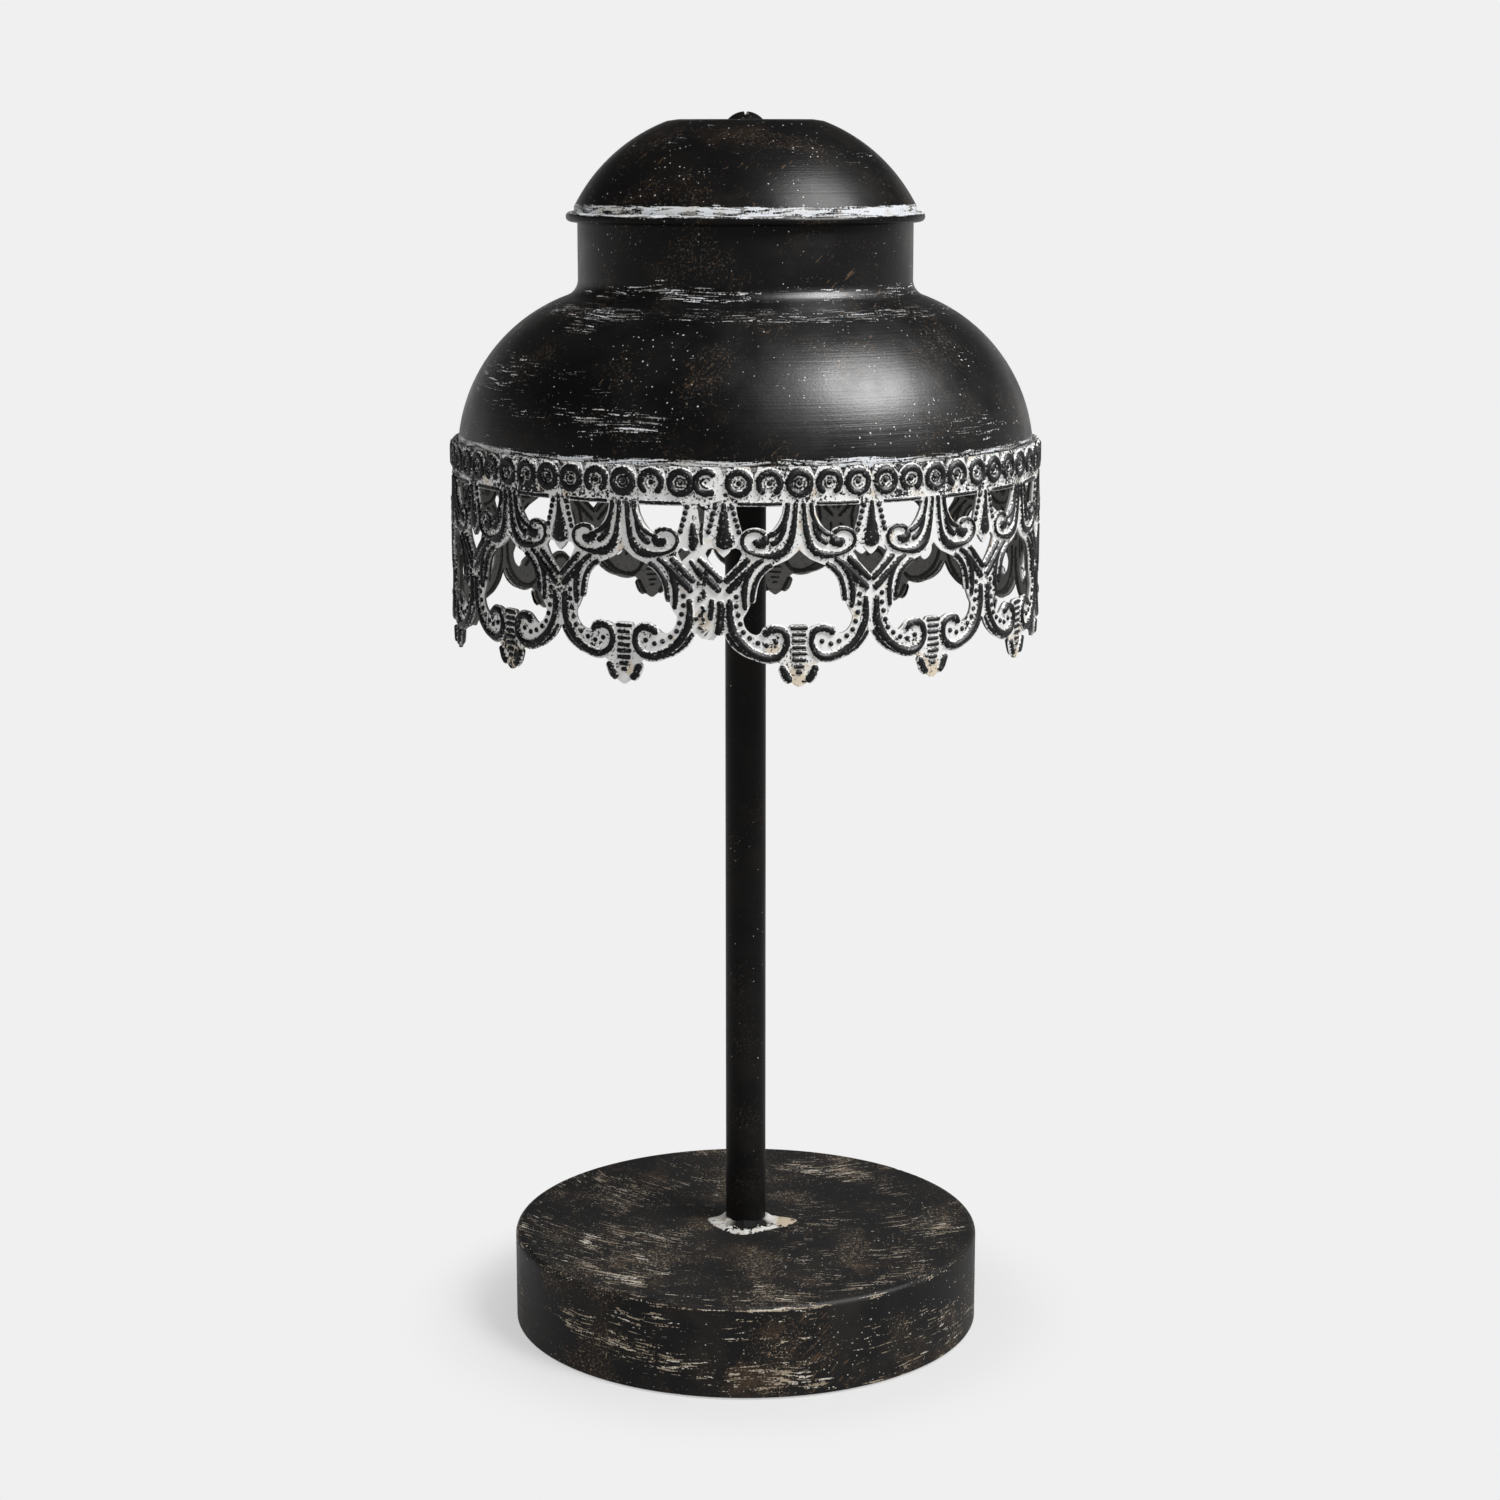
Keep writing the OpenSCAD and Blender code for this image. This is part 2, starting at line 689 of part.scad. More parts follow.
// Everything under the lower edges on both sides of an outline, from one tail to the next
module lace_trim(angle, between, apart) {
    edge = concat(curve(lower_edge, 2), [[lower_edge[len(lower_edge) - 1].x, below]]);
    last = len(edge) - 1;
    lace_cut(angle, concat(
        [for (k = [last : -1 : 1]) [-apart - edge[k].x, edge[k].y]], between,
        [for (k = [1 : last]) [apart + edge[k].x, edge[k].y]]
    ));
}

module lace_cell_cuts(i) {
    middle = motif_angle(i + 0.5);
    lace_cut(middle, mirrored(curve(crown_hole, 2)));
    lace_cut(middle, leaf_hole);
    lace_cut(middle, [for (p = leaf_hole) [-p.x, p.y]]);
    lace_cut(motif_angle(i), mirrored(heart_hole));
    for (k = [0 : rings_per_cell - 1]) lace_cut(motif_angle(i) + ring_pitch * k, notch);
}

// The lapped joint: the covered end shows half a heart and a sliver of its last opening
module lace_joint_cuts() {
    lace_cut(lace_joint - lace_lap / 2, [for (p = heart_hole) if (p.x > 1) [-p.x, p.y]]);
    lace_cut(lace_joint - lace_lap / 2, notch);
    lace_cut(lace_joint, joint_hole);
    lace_trim(lace_joint, joint_edge, joint_half_u);
}

module lace_band() {
    color(lace_grey) difference() {
        ring(lace_in_r, lace_out_r, lace_top - lace_h, lace_h);
        for (i = [0 : lace_cells - 1]) lace_cell_cuts(i);
        for (i = [1 : lace_cells - 1]) lace_trim(motif_angle(i), [lower_edge[0]], 0);
        lace_joint_cuts();
    }
}

// Light unit

module led_holder() {
    color(moulded_white) difference() {
        union() {
            ring(stem_r + slip, holder_d / 2, holder_z, holder_t);
            ring(stem_r + slip, hub_r, holder_z, hub_h);
            ring(holder_d / 2 - holder_wall, holder_d / 2, holder_z - holder_skirt, holder_skirt + tiny);
        }
        // Slot that the wires come down through
        translate([wire_drop_x, 0, holder_z + holder_t / 2])
            cube([wire_d + 1, 2 * wire_y + wire_d + 1, holder_t + 2], center = true);
        translate([0, 0, holder_screw_z]) rotate([-90, 0, 0])
            cylinder(d = holder_screw_d + slip, h = hub_r + 1);
    }
}

module holder_screw() {
    color(bare_steel) translate([0, stem_r, holder_screw_z]) rotate([-90, 0, 0])
        cylinder(d = holder_screw_d, h = hub_r - stem_r);
}

module led_board() {
    color(moulded_white) ring(board_in_r, board_out_r, holder_z - board_t, board_t);
}

module led_chips() {
    color([0.95, 0.85, 0.4]) for (k = [0 : led_count - 1]) rotate([0, 0, 360 * (k + 0.5) / led_count])
        translate([led_circle_d / 2, 0, holder_z - board_t - led_t / 2])
            cube([led_side, led_side, led_t], center = true);
}

// Everything within the diffuser's dish, or that far inside it
module diffuser_outline(inset) {
    out_r = holder_d / 2 - holder_wall - 2 * slip - inset;
    low = holder_z - 2 * slip - diffuser_drop + inset;
    round_r = diffuser_round - inset;
    translate([0, low]) square([out_r - round_r, diffuser_drop]);
    translate([0, low + round_r]) square([out_r, diffuser_drop - diffuser_round + inset]);
    translate([out_r - round_r, low + round_r]) circle(round_r);
}

module led_diffuser() {
    color([0.93, 0.92, 0.88]) rotate_extrude() difference() {
        diffuser_outline(0);
        diffuser_outline(diffuser_t);
        square([stem_r + 3 * slip, holder_z]);
    }
}

module lamp_wires() {
    below = (tray_top + tray_wall + stem_foot) / 2;
    color([0.7, 0.68, 0.6]) for (side = [-1, 1]) {
        y = side * wire_y;
        start = [switch_x - board_w / 2 + 2, y, board_z + board_t];
        rise = [
            start, start + [0, 0, 6], [start.x - 6, y, below], [8, y, below], [3, y, below + 1.5],
            [wire_y, y, below + 8]
        ];
        fall = [
            [wire_y, y, wire_hole_z - 8], [2.4, y, wire_hole_z - 2], [stem_r, y, wire_hole_z],
            [hub_r + 1, y, wire_hole_z - 1.2], [wire_drop_x, y, wire_hole_z - 6], [wire_drop_x, y, holder_z]
        ];
        tube(concat(curve(rise, 3), curve(fall, 3)), wire_d, [0, 1, 0], 8);
    }
}

base_shell();
weld_bead();
base_posts();
base_plate();
plate_screws();
foot_ring();
battery_tray();
battery(0);  // battery_left
battery(1);  // battery_middle
battery(2);  // battery_right
contact_springs();
contact_plates();
battery_door();
control_board();
board_screws();
switch_body();
switch_slider();
battery_wires();
stem();
stem_plug();
seat_washer();
top_screw();
shade_cap();
shade_bell();
lace_band();
led_holder();
holder_screw();
led_board();
led_chips();
led_diffuser();
lamp_wires();
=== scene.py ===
"""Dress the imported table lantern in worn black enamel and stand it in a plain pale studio.

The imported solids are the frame. Pieces made here are in metres in the same frame: the front is -Y, the
lantern's axis is Z, and angles round it are in degrees to the right of the front.
"""

import logging
import math
from dataclasses import dataclass, replace
from enum import Enum
from typing import Iterable, Optional, Sequence, Union

import bmesh
import bpy
from mathutils import Matrix, Vector, noise


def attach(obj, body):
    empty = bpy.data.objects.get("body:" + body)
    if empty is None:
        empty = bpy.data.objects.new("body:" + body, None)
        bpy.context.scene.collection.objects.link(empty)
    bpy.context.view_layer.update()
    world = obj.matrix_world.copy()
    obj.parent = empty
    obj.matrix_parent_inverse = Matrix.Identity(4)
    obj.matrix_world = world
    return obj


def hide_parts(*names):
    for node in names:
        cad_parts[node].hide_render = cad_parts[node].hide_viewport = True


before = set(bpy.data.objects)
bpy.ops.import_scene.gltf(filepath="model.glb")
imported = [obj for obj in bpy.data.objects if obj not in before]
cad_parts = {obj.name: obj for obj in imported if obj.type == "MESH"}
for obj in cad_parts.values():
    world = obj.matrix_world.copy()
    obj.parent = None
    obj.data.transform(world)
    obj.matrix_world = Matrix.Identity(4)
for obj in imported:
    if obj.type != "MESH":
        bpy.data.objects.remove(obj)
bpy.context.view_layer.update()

LOG = logging.getLogger("lantern")
MM = 0.001

Colour = tuple[float, float, float]
Point = tuple[float, float]
Station = tuple[float, float, float]
Socket = bpy.types.NodeSocket
Material = bpy.types.Material
Mesh = bmesh.types.BMesh
Setting = Union[float, Sequence[float], Socket]


class Body(Enum):
    """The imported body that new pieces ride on."""

    LANTERN = "lantern"


class Slot(Enum):
    """The material slots of the new pieces."""

    SHADE = "black_enamel"
    LACE = "lace_enamel"
    FILLER = "filler"
    STEEL = "steel"


class Measure(Enum):
    """How a place up a turned piece is measured: by its height, or along its outline."""

    HEIGHT = "height"
    OUTLINE = "outline"


class Curve(Enum):
    """How a value goes from one level to another: softly, or in even steps."""

    SOFT = "SMOOTHSTEP"
    EVEN = "LINEAR"


class NodeSet:
    """Adds, sets and links the nodes of one tree."""

    def __init__(self, tree: bpy.types.NodeTree) -> None:
        """Keep the tree that nodes are added to."""
        self.tree = tree

    def give(self, socket: Socket, value: Setting) -> None:
        """Link an output to a socket, or set the socket's own value.

        Args:
            socket: The input socket.
            value: An output socket, a number, a colour or a vector.
        """
        if isinstance(value, Socket):
            self.tree.links.new(value, socket)
        elif socket.type == "RGBA":
            socket.default_value = (*value, 1.0)
        else:
            socket.default_value = value

    def add(self, kind: str, inputs: dict, **settings: object) -> bpy.types.Node:
        """Add a node.

        Args:
            kind: The node's type name.
            inputs: Values or links by the input's name or number.
            settings: The node's own properties.

        Returns:
            The new node.
        """
        node = self.tree.nodes.new(kind)
        for key, value in settings.items():
            setattr(node, key, value)
        for key, value in inputs.items():
            self.give(node.inputs[key], value)
        return node

    def math(self, operation: str, *values: Setting) -> Socket:
        """Add a Math node with its inputs in order and give its result."""
        return self.add("ShaderNodeMath", dict(enumerate(values)), operation=operation).outputs[0]

    def fade(self, value: Setting, low: float, high: float, start: Setting = 0.0, end: Setting = 1.0,
             curve: Curve = Curve.SOFT) -> Socket:
        """Step from start to end as a value goes from low to high."""
        inputs = {"Value": value, "From Min": low, "From Max": high, "To Min": start, "To Max": end}
        return self.add("ShaderNodeMapRange", inputs, interpolation_type=curve.value).outputs["Result"]

    def mix(self, share: Setting, first: Setting, second: Setting) -> Socket:
        """Mix two colours, with a share of the second one on top of the first."""
        return self.add("ShaderNodeMix", {0: share, 6: first, 7: second}, data_type="RGBA").outputs[2]

    def vector(self, x: Setting, y: Setting, z: Setting) -> Socket:
        """Combine three numbers into a vector."""
        return self.add("ShaderNodeCombineXYZ", {0: x, 1: y, 2: z}).outputs[0]

    def length(self, vector: Setting) -> Socket:
        """Give a vector's length."""
        return self.add("ShaderNodeVectorMath", {0: vector}, operation="LENGTH").outputs["Value"]

    def stretched(self, place: Setting, scale: Setting, shift: Setting = (0, 0, 0)) -> Socket:
        """Scale a place by a factor for each axis and then move it."""
        inputs = {0: place, 1: scale, 2: shift}
        return self.add("ShaderNodeVectorMath", inputs, operation="MULTIPLY_ADD").outputs[0]

    def grain(self, place: Setting, scale: float = 1.0, detail: float = 2.0, rough: float = 0.5) -> Socket:
        """Sample soft noise, from about 0.2 to 0.8, with so many waves per unit and octaves above them."""
        inputs = {"Vector": place, "Scale": scale, "Detail": detail, "Roughness": rough}
        return self.add("ShaderNodeTexNoise", inputs).outputs["Fac"]

    def object_place(self) -> Socket:
        """Give the point's place in the lantern's frame, in metres."""
        return self.add("ShaderNodeTexCoord", {}).outputs["Object"]

    def relief(self, height: Setting, strength: float, depth: float, below: Optional[Setting] = None
               ) -> Socket:
        """Turn a height into a bumped normal.

        Args:
            height: The height, from 0 to 1.
            strength: How much of the bump shows.
            depth: What a height of 1 measures, in metres.
            below: A normal that is bumped already.

        Returns:
            The normal's socket.
        """
        inputs = {"Height": height, "Strength": strength, "Distance": depth}
        if below is not None:
            inputs["Normal"] = below
        return self.add("ShaderNodeBump", inputs).outputs["Normal"]


class FinishNodes(NodeSet):
    """The nodes of one material."""

    def __init__(self, name: str) -> None:
        """Start a material.

        Args:
            name: Its name.
        """
        self.material = bpy.data.materials.new(name)
        self.material.use_nodes = True
        super().__init__(self.material.node_tree)
        self.tree.nodes.clear()

    def show(self, shader: Socket) -> Material:
        """Put a shader on the material's surface and give the material."""
        self.add("ShaderNodeOutputMaterial", {"Surface": shader})
        return self.material

    def finish(self, **values: Setting) -> Material:
        """Show a Principled shader, whose inputs are named with low lines for spaces."""
        inputs = {name.replace("_", " "): value for name, value in values.items()}
        return self.show(self.add("ShaderNodeBsdfPrincipled", inputs).outputs["BSDF"])


class TurnedPlace:
    """Sockets for a point on a piece that was turned on a lathe: round it, up it and along its outline.

    A place along the outline is the radius less the height.
    """

    # How far below a flat top its edge begins, in millimetres
    EDGE = 0.3

    def __init__(self, nodes: FinishNodes, sweep: Optional[Station] = None) -> None:
        """Work out the point's measures.

        Args:
            nodes: The finish that reads them.
            sweep: Middle of the arcs that a hand brushed along a flat top, to the right and to the back of
                the axis, and the top's height, in millimetres. Without it strokes go round the axis.
        """
        self.place = nodes.object_place()
        parts = nodes.add("ShaderNodeSeparateXYZ", {0: self.place}).outputs
        self.x, self.y, self.z = parts[0], parts[1], parts[2]
        self.radius = nodes.length(nodes.stretched(self.place, (1, 1, 0)))
        self.along = nodes.math("SUBTRACT", self.radius, self.z)
        front = nodes.math("MULTIPLY", self.y, -1.0)
        self.angle = nodes.math("DEGREES", nodes.math("ARCTAN2", self.x, front))
        self.height = nodes.math("MULTIPLY", self.z, 1 / MM)
        outline = nodes.math("MULTIPLY", self.along, 1 / MM)
        self.up = {Measure.HEIGHT: self.height, Measure.OUTLINE: outline}
        self.across = self.along
        if sweep:
            right, back, top = sweep
            off = nodes.stretched(self.place, (1, 1, 0), (-right * MM, -back * MM, 0.0))
            self.across = self.on_top(nodes, top, self.along, nodes.length(off))

    def on_top(self, nodes: FinishNodes, top: float, below: Setting, above: Setting) -> Socket:
        """Give one value below a flat top's edge and another one on the top."""
        return nodes.fade(self.height, top - self.EDGE, top, below, above)

    def strokes(self, nodes: FinishNodes, length: float, width: float, shift: float, wander: float = 0.0
                ) -> Socket:
        """Give noise drawn out round the piece or along the sweep, as a dry brush leaves it.

        Args:
            nodes: The finish.
            length: Length of a stroke in millimetres.
            width: Width of a stroke in millimetres.
            shift: Moves the pattern.
            wander: How far strokes stray from a circle, in millimetres.

        Returns:
            The noise's socket.
        """
        across = self.across
        if wander:
            across = nodes.math("MULTIPLY_ADD", nodes.grain(self.place, 55.0, 1.0), wander * MM, across)
        place = nodes.vector(self.x, self.y, across)
        drawn = nodes.stretched(place, (1 / (length * MM), 1 / (length * MM), 1 / (width * MM)), (shift,) * 3)
        return nodes.grain(drawn, 1.0, 2.0, 0.5)


@dataclass(frozen=True)
class WearPatch:
    """An oval on a turned piece where dry-brushed paint gathers.

    Attributes:
        angle: Its middle, in degrees to the right of the front.
        place: Its middle up the piece, in millimetres.
        wide: Half its width in degrees.
        tall: Half its extent up the piece in millimetres.
        cover: How much more paint it holds.
        by: How its place is measured.
    """

    angle: float
    place: float
    wide: float
    tall: float
    cover: float
    by: Measure = Measure.HEIGHT

    def mask(self, nodes: FinishNodes, spot: TurnedPlace) -> Socket:
        """Mark the oval.

        Args:
            nodes: The finish.
            spot: The point.

        Returns:
            1 in its middle and 0 outside it.
        """
        across = nodes.math("MULTIPLY_ADD", spot.angle, 1 / self.wide, -self.angle / self.wide)
        up = nodes.math("MULTIPLY_ADD", spot.up[self.by], 1 / self.tall, -self.place / self.tall)
        far = nodes.math("MULTIPLY_ADD", up, up, nodes.math("MULTIPLY", across, across))
        return nodes.fade(far, 0.1, 1.0, 1.0, 0.0)


@dataclass(frozen=True)
class WearBand:
    """A belt round a turned piece where dry-brushed paint gathers.

    Attributes:
        low: Its lower edge in millimetres above the table.
        high: Its upper edge.
        soft: How far its edges fade.
        cover: How much more paint it holds.
    """

    low: float
    high: float
    soft: float
    cover: float

    def mask(self, nodes: FinishNodes, spot: TurnedPlace) -> Socket:
        """Mark the belt.

        Args:
            nodes: The finish.
            spot: The point.

        Returns:
            1 in it and 0 away from it.
        """
        over = nodes.fade(spot.height, self.low - self.soft, self.low)
        under = nodes.fade(spot.height, self.high, self.high + self.soft, 1.0, 0.0)
        return nodes.math("MULTIPLY", over, under)


def patches(by: Measure, *rows: tuple[float, ...]) -> tuple[WearPatch, ...]:
    """Make patches from rows (angle, place, wide, tall, cover) that are all measured one way."""
    return tuple(WearPatch(*row, by) for row in rows)


@dataclass(frozen=True)
class TurnedEnamel:
    """Black enamel on turned metal, dry-brushed with chalk paint and rubbed through in places.

    Attributes:
        name: The material's name.
        dark: The enamel.
        warm: The enamel where it is thin.
        chalk: The brushed paint.
        cream: The same paint where it has yellowed.
        rust: The brown that shows through scratches.
        cover: How much chalk lies everywhere.
        clump: How much more lies in clumps.
        clump_size: Size of a clump in millimetres.
        stroke: Length and width of a brush stroke in millimetres.
        wander: How far strokes stray from a circle, in millimetres.
        hair: How strongly hairlines of paint show between the strokes.
        hair_cover: How much more of them there is than of strokes.
        specks: How much of the surface is spattered.
        scratches: How much is scratched through.
        stains: How strongly brown stains show.
        dust: How strongly fine brown dust shows.
        chips: How strongly fine pale chips show.
        spun: How deep the lines of the lathe are.
        gloss: The shader's specular level.
        satin: The enamel's roughness.
        wear: Patches and belts with more chalk.
        sweep: The middle of the arcs that strokes on a flat top follow, and the top's height.
        grit: How many more fine chips lie on that flat top.
    """

    # Spacing in millimetres and largest share of it, for large and for small specks
    SPATTERS = ((3.1, 0.1), (1.35, 0.19))
    # How far a speck is bent out of round
    BEND = 0.6 * MM
    # Sums of stroke and cover between which chalk and hairlines begin to show
    CHALK_EDGE = (0.985, 1.015)
    HAIR_EDGE = (0.98, 1.04)
    # A hairline's width against a stroke's
    HAIR_WIDTH = 0.65

    name: str
    dark: Colour
    warm: Colour
    chalk: Colour
    cream: Colour
    rust: Colour
    cover: float
    clump: float
    clump_size: float
    stroke: Point
    wander: float
    hair: float
    hair_cover: float
    specks: float
    scratches: float
    stains: float
    dust: float
    chips: float
    spun: float
    gloss: float
    satin: float
    wear: tuple[Union[WearPatch, WearBand], ...] = ()
    sweep: Optional[Station] = None
    grit: float = 0.0

    def spatter(self, nodes: FinishNodes, spot: TurnedPlace, cell: float, size: float) -> Socket:
        """Give small round specks of different sizes.

        Args:
            nodes: The finish.
            spot: The point.
            cell: The specks' spacing in millimetres.
            size: The largest one's radius as a share of the spacing.

        Returns:
            1 in a speck and 0 outside.
        """
        bend = nodes.add("ShaderNodeTexNoise", {"Vector": spot.place, "Scale": 1 / (0.5 * MM)})
        place = nodes.stretched(bend.outputs["Color"], (self.BEND,) * 3, spot.place)
        dots = nodes.add("ShaderNodeTexVoronoi", {"Vector": place, "Scale": 1 / (cell * MM)})
        pick = nodes.add("ShaderNodeSeparateColor", {0: dots.outputs["Color"]}).outputs[0]
        crowd = nodes.fade(nodes.grain(spot.place, 40.0), 0.36, 0.6, 0.25, 1.0)
        reach = nodes.math("MULTIPLY", nodes.fade(pick, 1.0 - self.specks, 1.0, 0.0, size), crowd)
        return nodes.fade(nodes.math("SUBTRACT", reach, dots.outputs["Distance"]), 0.0, 0.05)

    def scratched(self, nodes: FinishNodes, spot: TurnedPlace) -> Socket:
        """Draw short slanting scratches.

        Args:
            nodes: The finish.
            spot: The point.

        Returns:
            How far a point is scratched through, from 0 to 1.
        """
        slant = nodes.math("ADD", spot.x, spot.z)
        cross = nodes.math("SUBTRACT", spot.z, spot.x)
        place = nodes.stretched(nodes.vector(slant, spot.y, cross), (170, 170, 950), (3, 7, 1))
        marks = nodes.grain(place, 1.0, 3.0, 0.6)
        where = nodes.fade(nodes.grain(spot.place, 38.0), 0.42, 0.62, -0.2, self.scratches)
        return nodes.fade(nodes.math("ADD", marks, where), 0.78, 0.9, 0.0, 0.8)

    def brushed_cover(self, nodes: FinishNodes, spot: TurnedPlace) -> Socket:
        """Lay the chalk that the brush left, before its strokes part it.

        Args:
            nodes: The finish.
            spot: The point.

        Returns:
            How much there is.
        """
        clumps = nodes.grain(nodes.stretched(spot.place, (1, 1, 2.2)), 1 / (self.clump_size * MM), 3.0, 0.55)
        cover = nodes.math("MULTIPLY_ADD", nodes.fade(clumps, 0.44, 0.66), self.clump, self.cover)
        for wear in self.wear:
            cover = nodes.math("MULTIPLY_ADD", wear.mask(nodes, spot), wear.cover, cover)
        ragged = nodes.grain(spot.place, 1 / (0.6 * MM), 2.0)
        return nodes.math("MULTIPLY_ADD", nodes.math("SUBTRACT", ragged, 0.5), 0.42, cover)

    def build(self) -> Material:
        """Make the material.

        Returns:
            The finished material.
        """
        nodes = FinishNodes(self.name)
        spot = TurnedPlace(nodes, self.sweep)
        thin = nodes.grain(spot.place, 60.0, 4.0, 0.6)
        colour = nodes.mix(nodes.fade(thin, 0.4, 0.7), self.dark, self.warm)
        brown = nodes.grain(nodes.stretched(spot.place, (1, 1, 1.6)), 48.0, 5.0, 0.68)
        colour = nodes.mix(nodes.fade(brown, 0.55, 0.72, 0.0, self.stains), colour, self.rust)
        motes = nodes.grain(spot.place, 1300.0, 3.0, 0.65)
        where = nodes.fade(nodes.grain(spot.place, 55.0, 3.0), 0.42, 0.66, 0.02, 0.14)
        dusty = nodes.fade(nodes.math("ADD", motes, where), 0.66, 0.8, 0.0, self.dust)
        colour = nodes.mix(dusty, colour, self.rust)
        chips = nodes.math("ADD", nodes.grain(spot.place, 1700.0, 2.0, 0.6), where)
        if self.sweep:
            chips = nodes.math("ADD", chips, spot.on_top(nodes, self.sweep[-1], 0.0, self.grit))
        colour = nodes.mix(nodes.fade(chips, 0.76, 0.82, 0.0, self.chips), colour, self.cream)
        colour = nodes.mix(self.scratched(nodes, spot), colour, self.rust)
        cover = self.brushed_cover(nodes, spot)
        length, width = self.stroke
        bold = nodes.math("ADD", spot.strokes(nodes, length, width, 11.0, self.wander), cover)
        fine = spot.strokes(nodes, length, self.HAIR_WIDTH * width, 5.0, self.wander)
        edges = [edge - self.hair_cover for edge in self.HAIR_EDGE]
        hairs = nodes.fade(nodes.math("ADD", fine, cover), *edges, 0.0, self.hair)
        painted = nodes.fade(bold, *self.CHALK_EDGE)
        for cell, size in self.SPATTERS:
            painted = nodes.math("MAXIMUM", painted, self.spatter(nodes, spot, cell, size))
        aged = nodes.mix(nodes.fade(nodes.grain(spot.place, 110.0, 3.0), 0.45, 0.65), self.chalk, self.cream)
        colour = nodes.mix(hairs, colour, self.cream)
        colour = nodes.mix(painted, colour, aged)
        normal = nodes.relief(spot.strokes(nodes, 55.0, 0.95, 2.0), self.spun, 0.00012)
        normal = nodes.relief(spot.strokes(nodes, 30.0, 0.4, 8.0), 0.6 * self.spun, 0.0001, normal)
        normal = nodes.relief(nodes.grain(spot.place, 1500.0, 2.0), 0.3, 0.0001, normal)
        normal = nodes.relief(painted, 0.35, 0.00008, normal)
        satin = nodes.fade(thin, 0.3, 0.7, self.satin - 0.05, self.satin + 0.06)
        rough = nodes.math("MULTIPLY_ADD", painted, 0.28, satin)
        return nodes.finish(Base_Color=colour, Roughness=rough, Normal=normal, Specular_IOR_Level=self.gloss)


# On the lantern's left side more black shows through the wash, and the ribs' feet turn grey more often.
LEFT_SIDE_DARKER = WearPatch(-80.0, 240.0, 62.0, 60.0, 0.07)


@dataclass(frozen=True)
class LaceWash:
    """The lace's flat sheet: chalk wash outside over black, and dull grey inside.

    Attributes:
        name: The material's name.
        wall_r: Radius in millimetres that parts the outside from the inside.
        chalk: The wash.
        cream: The wash where it has yellowed.
        dark: The enamel under it.
        dull: The inside.
        band_low: Lower edge in millimetres of the ring band, which keeps more enamel.
        aged_low: Heights between which the wash yellows towards the lower edge.
        thin: A patch on the lantern's left side where more of the black shows through the wash.
        gloss: The shader's specular level.
    """

    name: str = "lace_wash"
    wall_r: float = 84.2
    chalk: Colour = (0.87, 0.87, 0.86)
    cream: Colour = (0.72, 0.62, 0.49)
    dark: Colour = (0.02, 0.02, 0.021)
    dull: Colour = (0.23, 0.226, 0.218)
    band_low: float = 256.8
    aged_low: Point = (209.0, 222.0)
    thin: WearPatch = LEFT_SIDE_DARKER
    gloss: float = 0.075

    def build(self) -> Material:
        """Make the material.

        Returns:
            The finished material.
        """
        nodes = FinishNodes(self.name)
        spot = TurnedPlace(nodes)
        blotch = nodes.grain(spot.place, 90.0, 4.0, 0.6)
        speckle = nodes.grain(spot.place, 1100.0, 3.0, 0.6)
        bare = nodes.math("MULTIPLY_ADD", blotch, 0.6, nodes.math("MULTIPLY", speckle, 0.7))
        band = nodes.fade(spot.height, self.band_low - 0.4, self.band_low + 0.4, 0.0, 0.08)
        bare = nodes.math("ADD", bare, band)
        bare = nodes.math("MULTIPLY_ADD", self.thin.mask(nodes, spot), self.thin.cover, bare)
        bare = nodes.fade(bare, 0.725, 0.775)
        low = nodes.fade(spot.height, *self.aged_low, 0.2, 0.0)
        yellow = nodes.math("ADD", nodes.grain(spot.place, 150.0, 3.0), low)
        aged = nodes.mix(nodes.fade(yellow, 0.58, 0.72), self.chalk, self.cream)
        outside = nodes.mix(bare, aged, self.dark)
        inside = nodes.mix(nodes.fade(speckle, 0.5, 0.75, 0.0, 0.6), self.dull, self.dark)
        face = nodes.fade(spot.radius, self.wall_r * MM - 0.0002, self.wall_r * MM)
        colour = nodes.mix(face, inside, outside)
        normal = nodes.relief(speckle, 0.3, 0.0002)
        return nodes.finish(Base_Color=colour, Roughness=0.6, Normal=normal, Specular_IOR_Level=self.gloss)


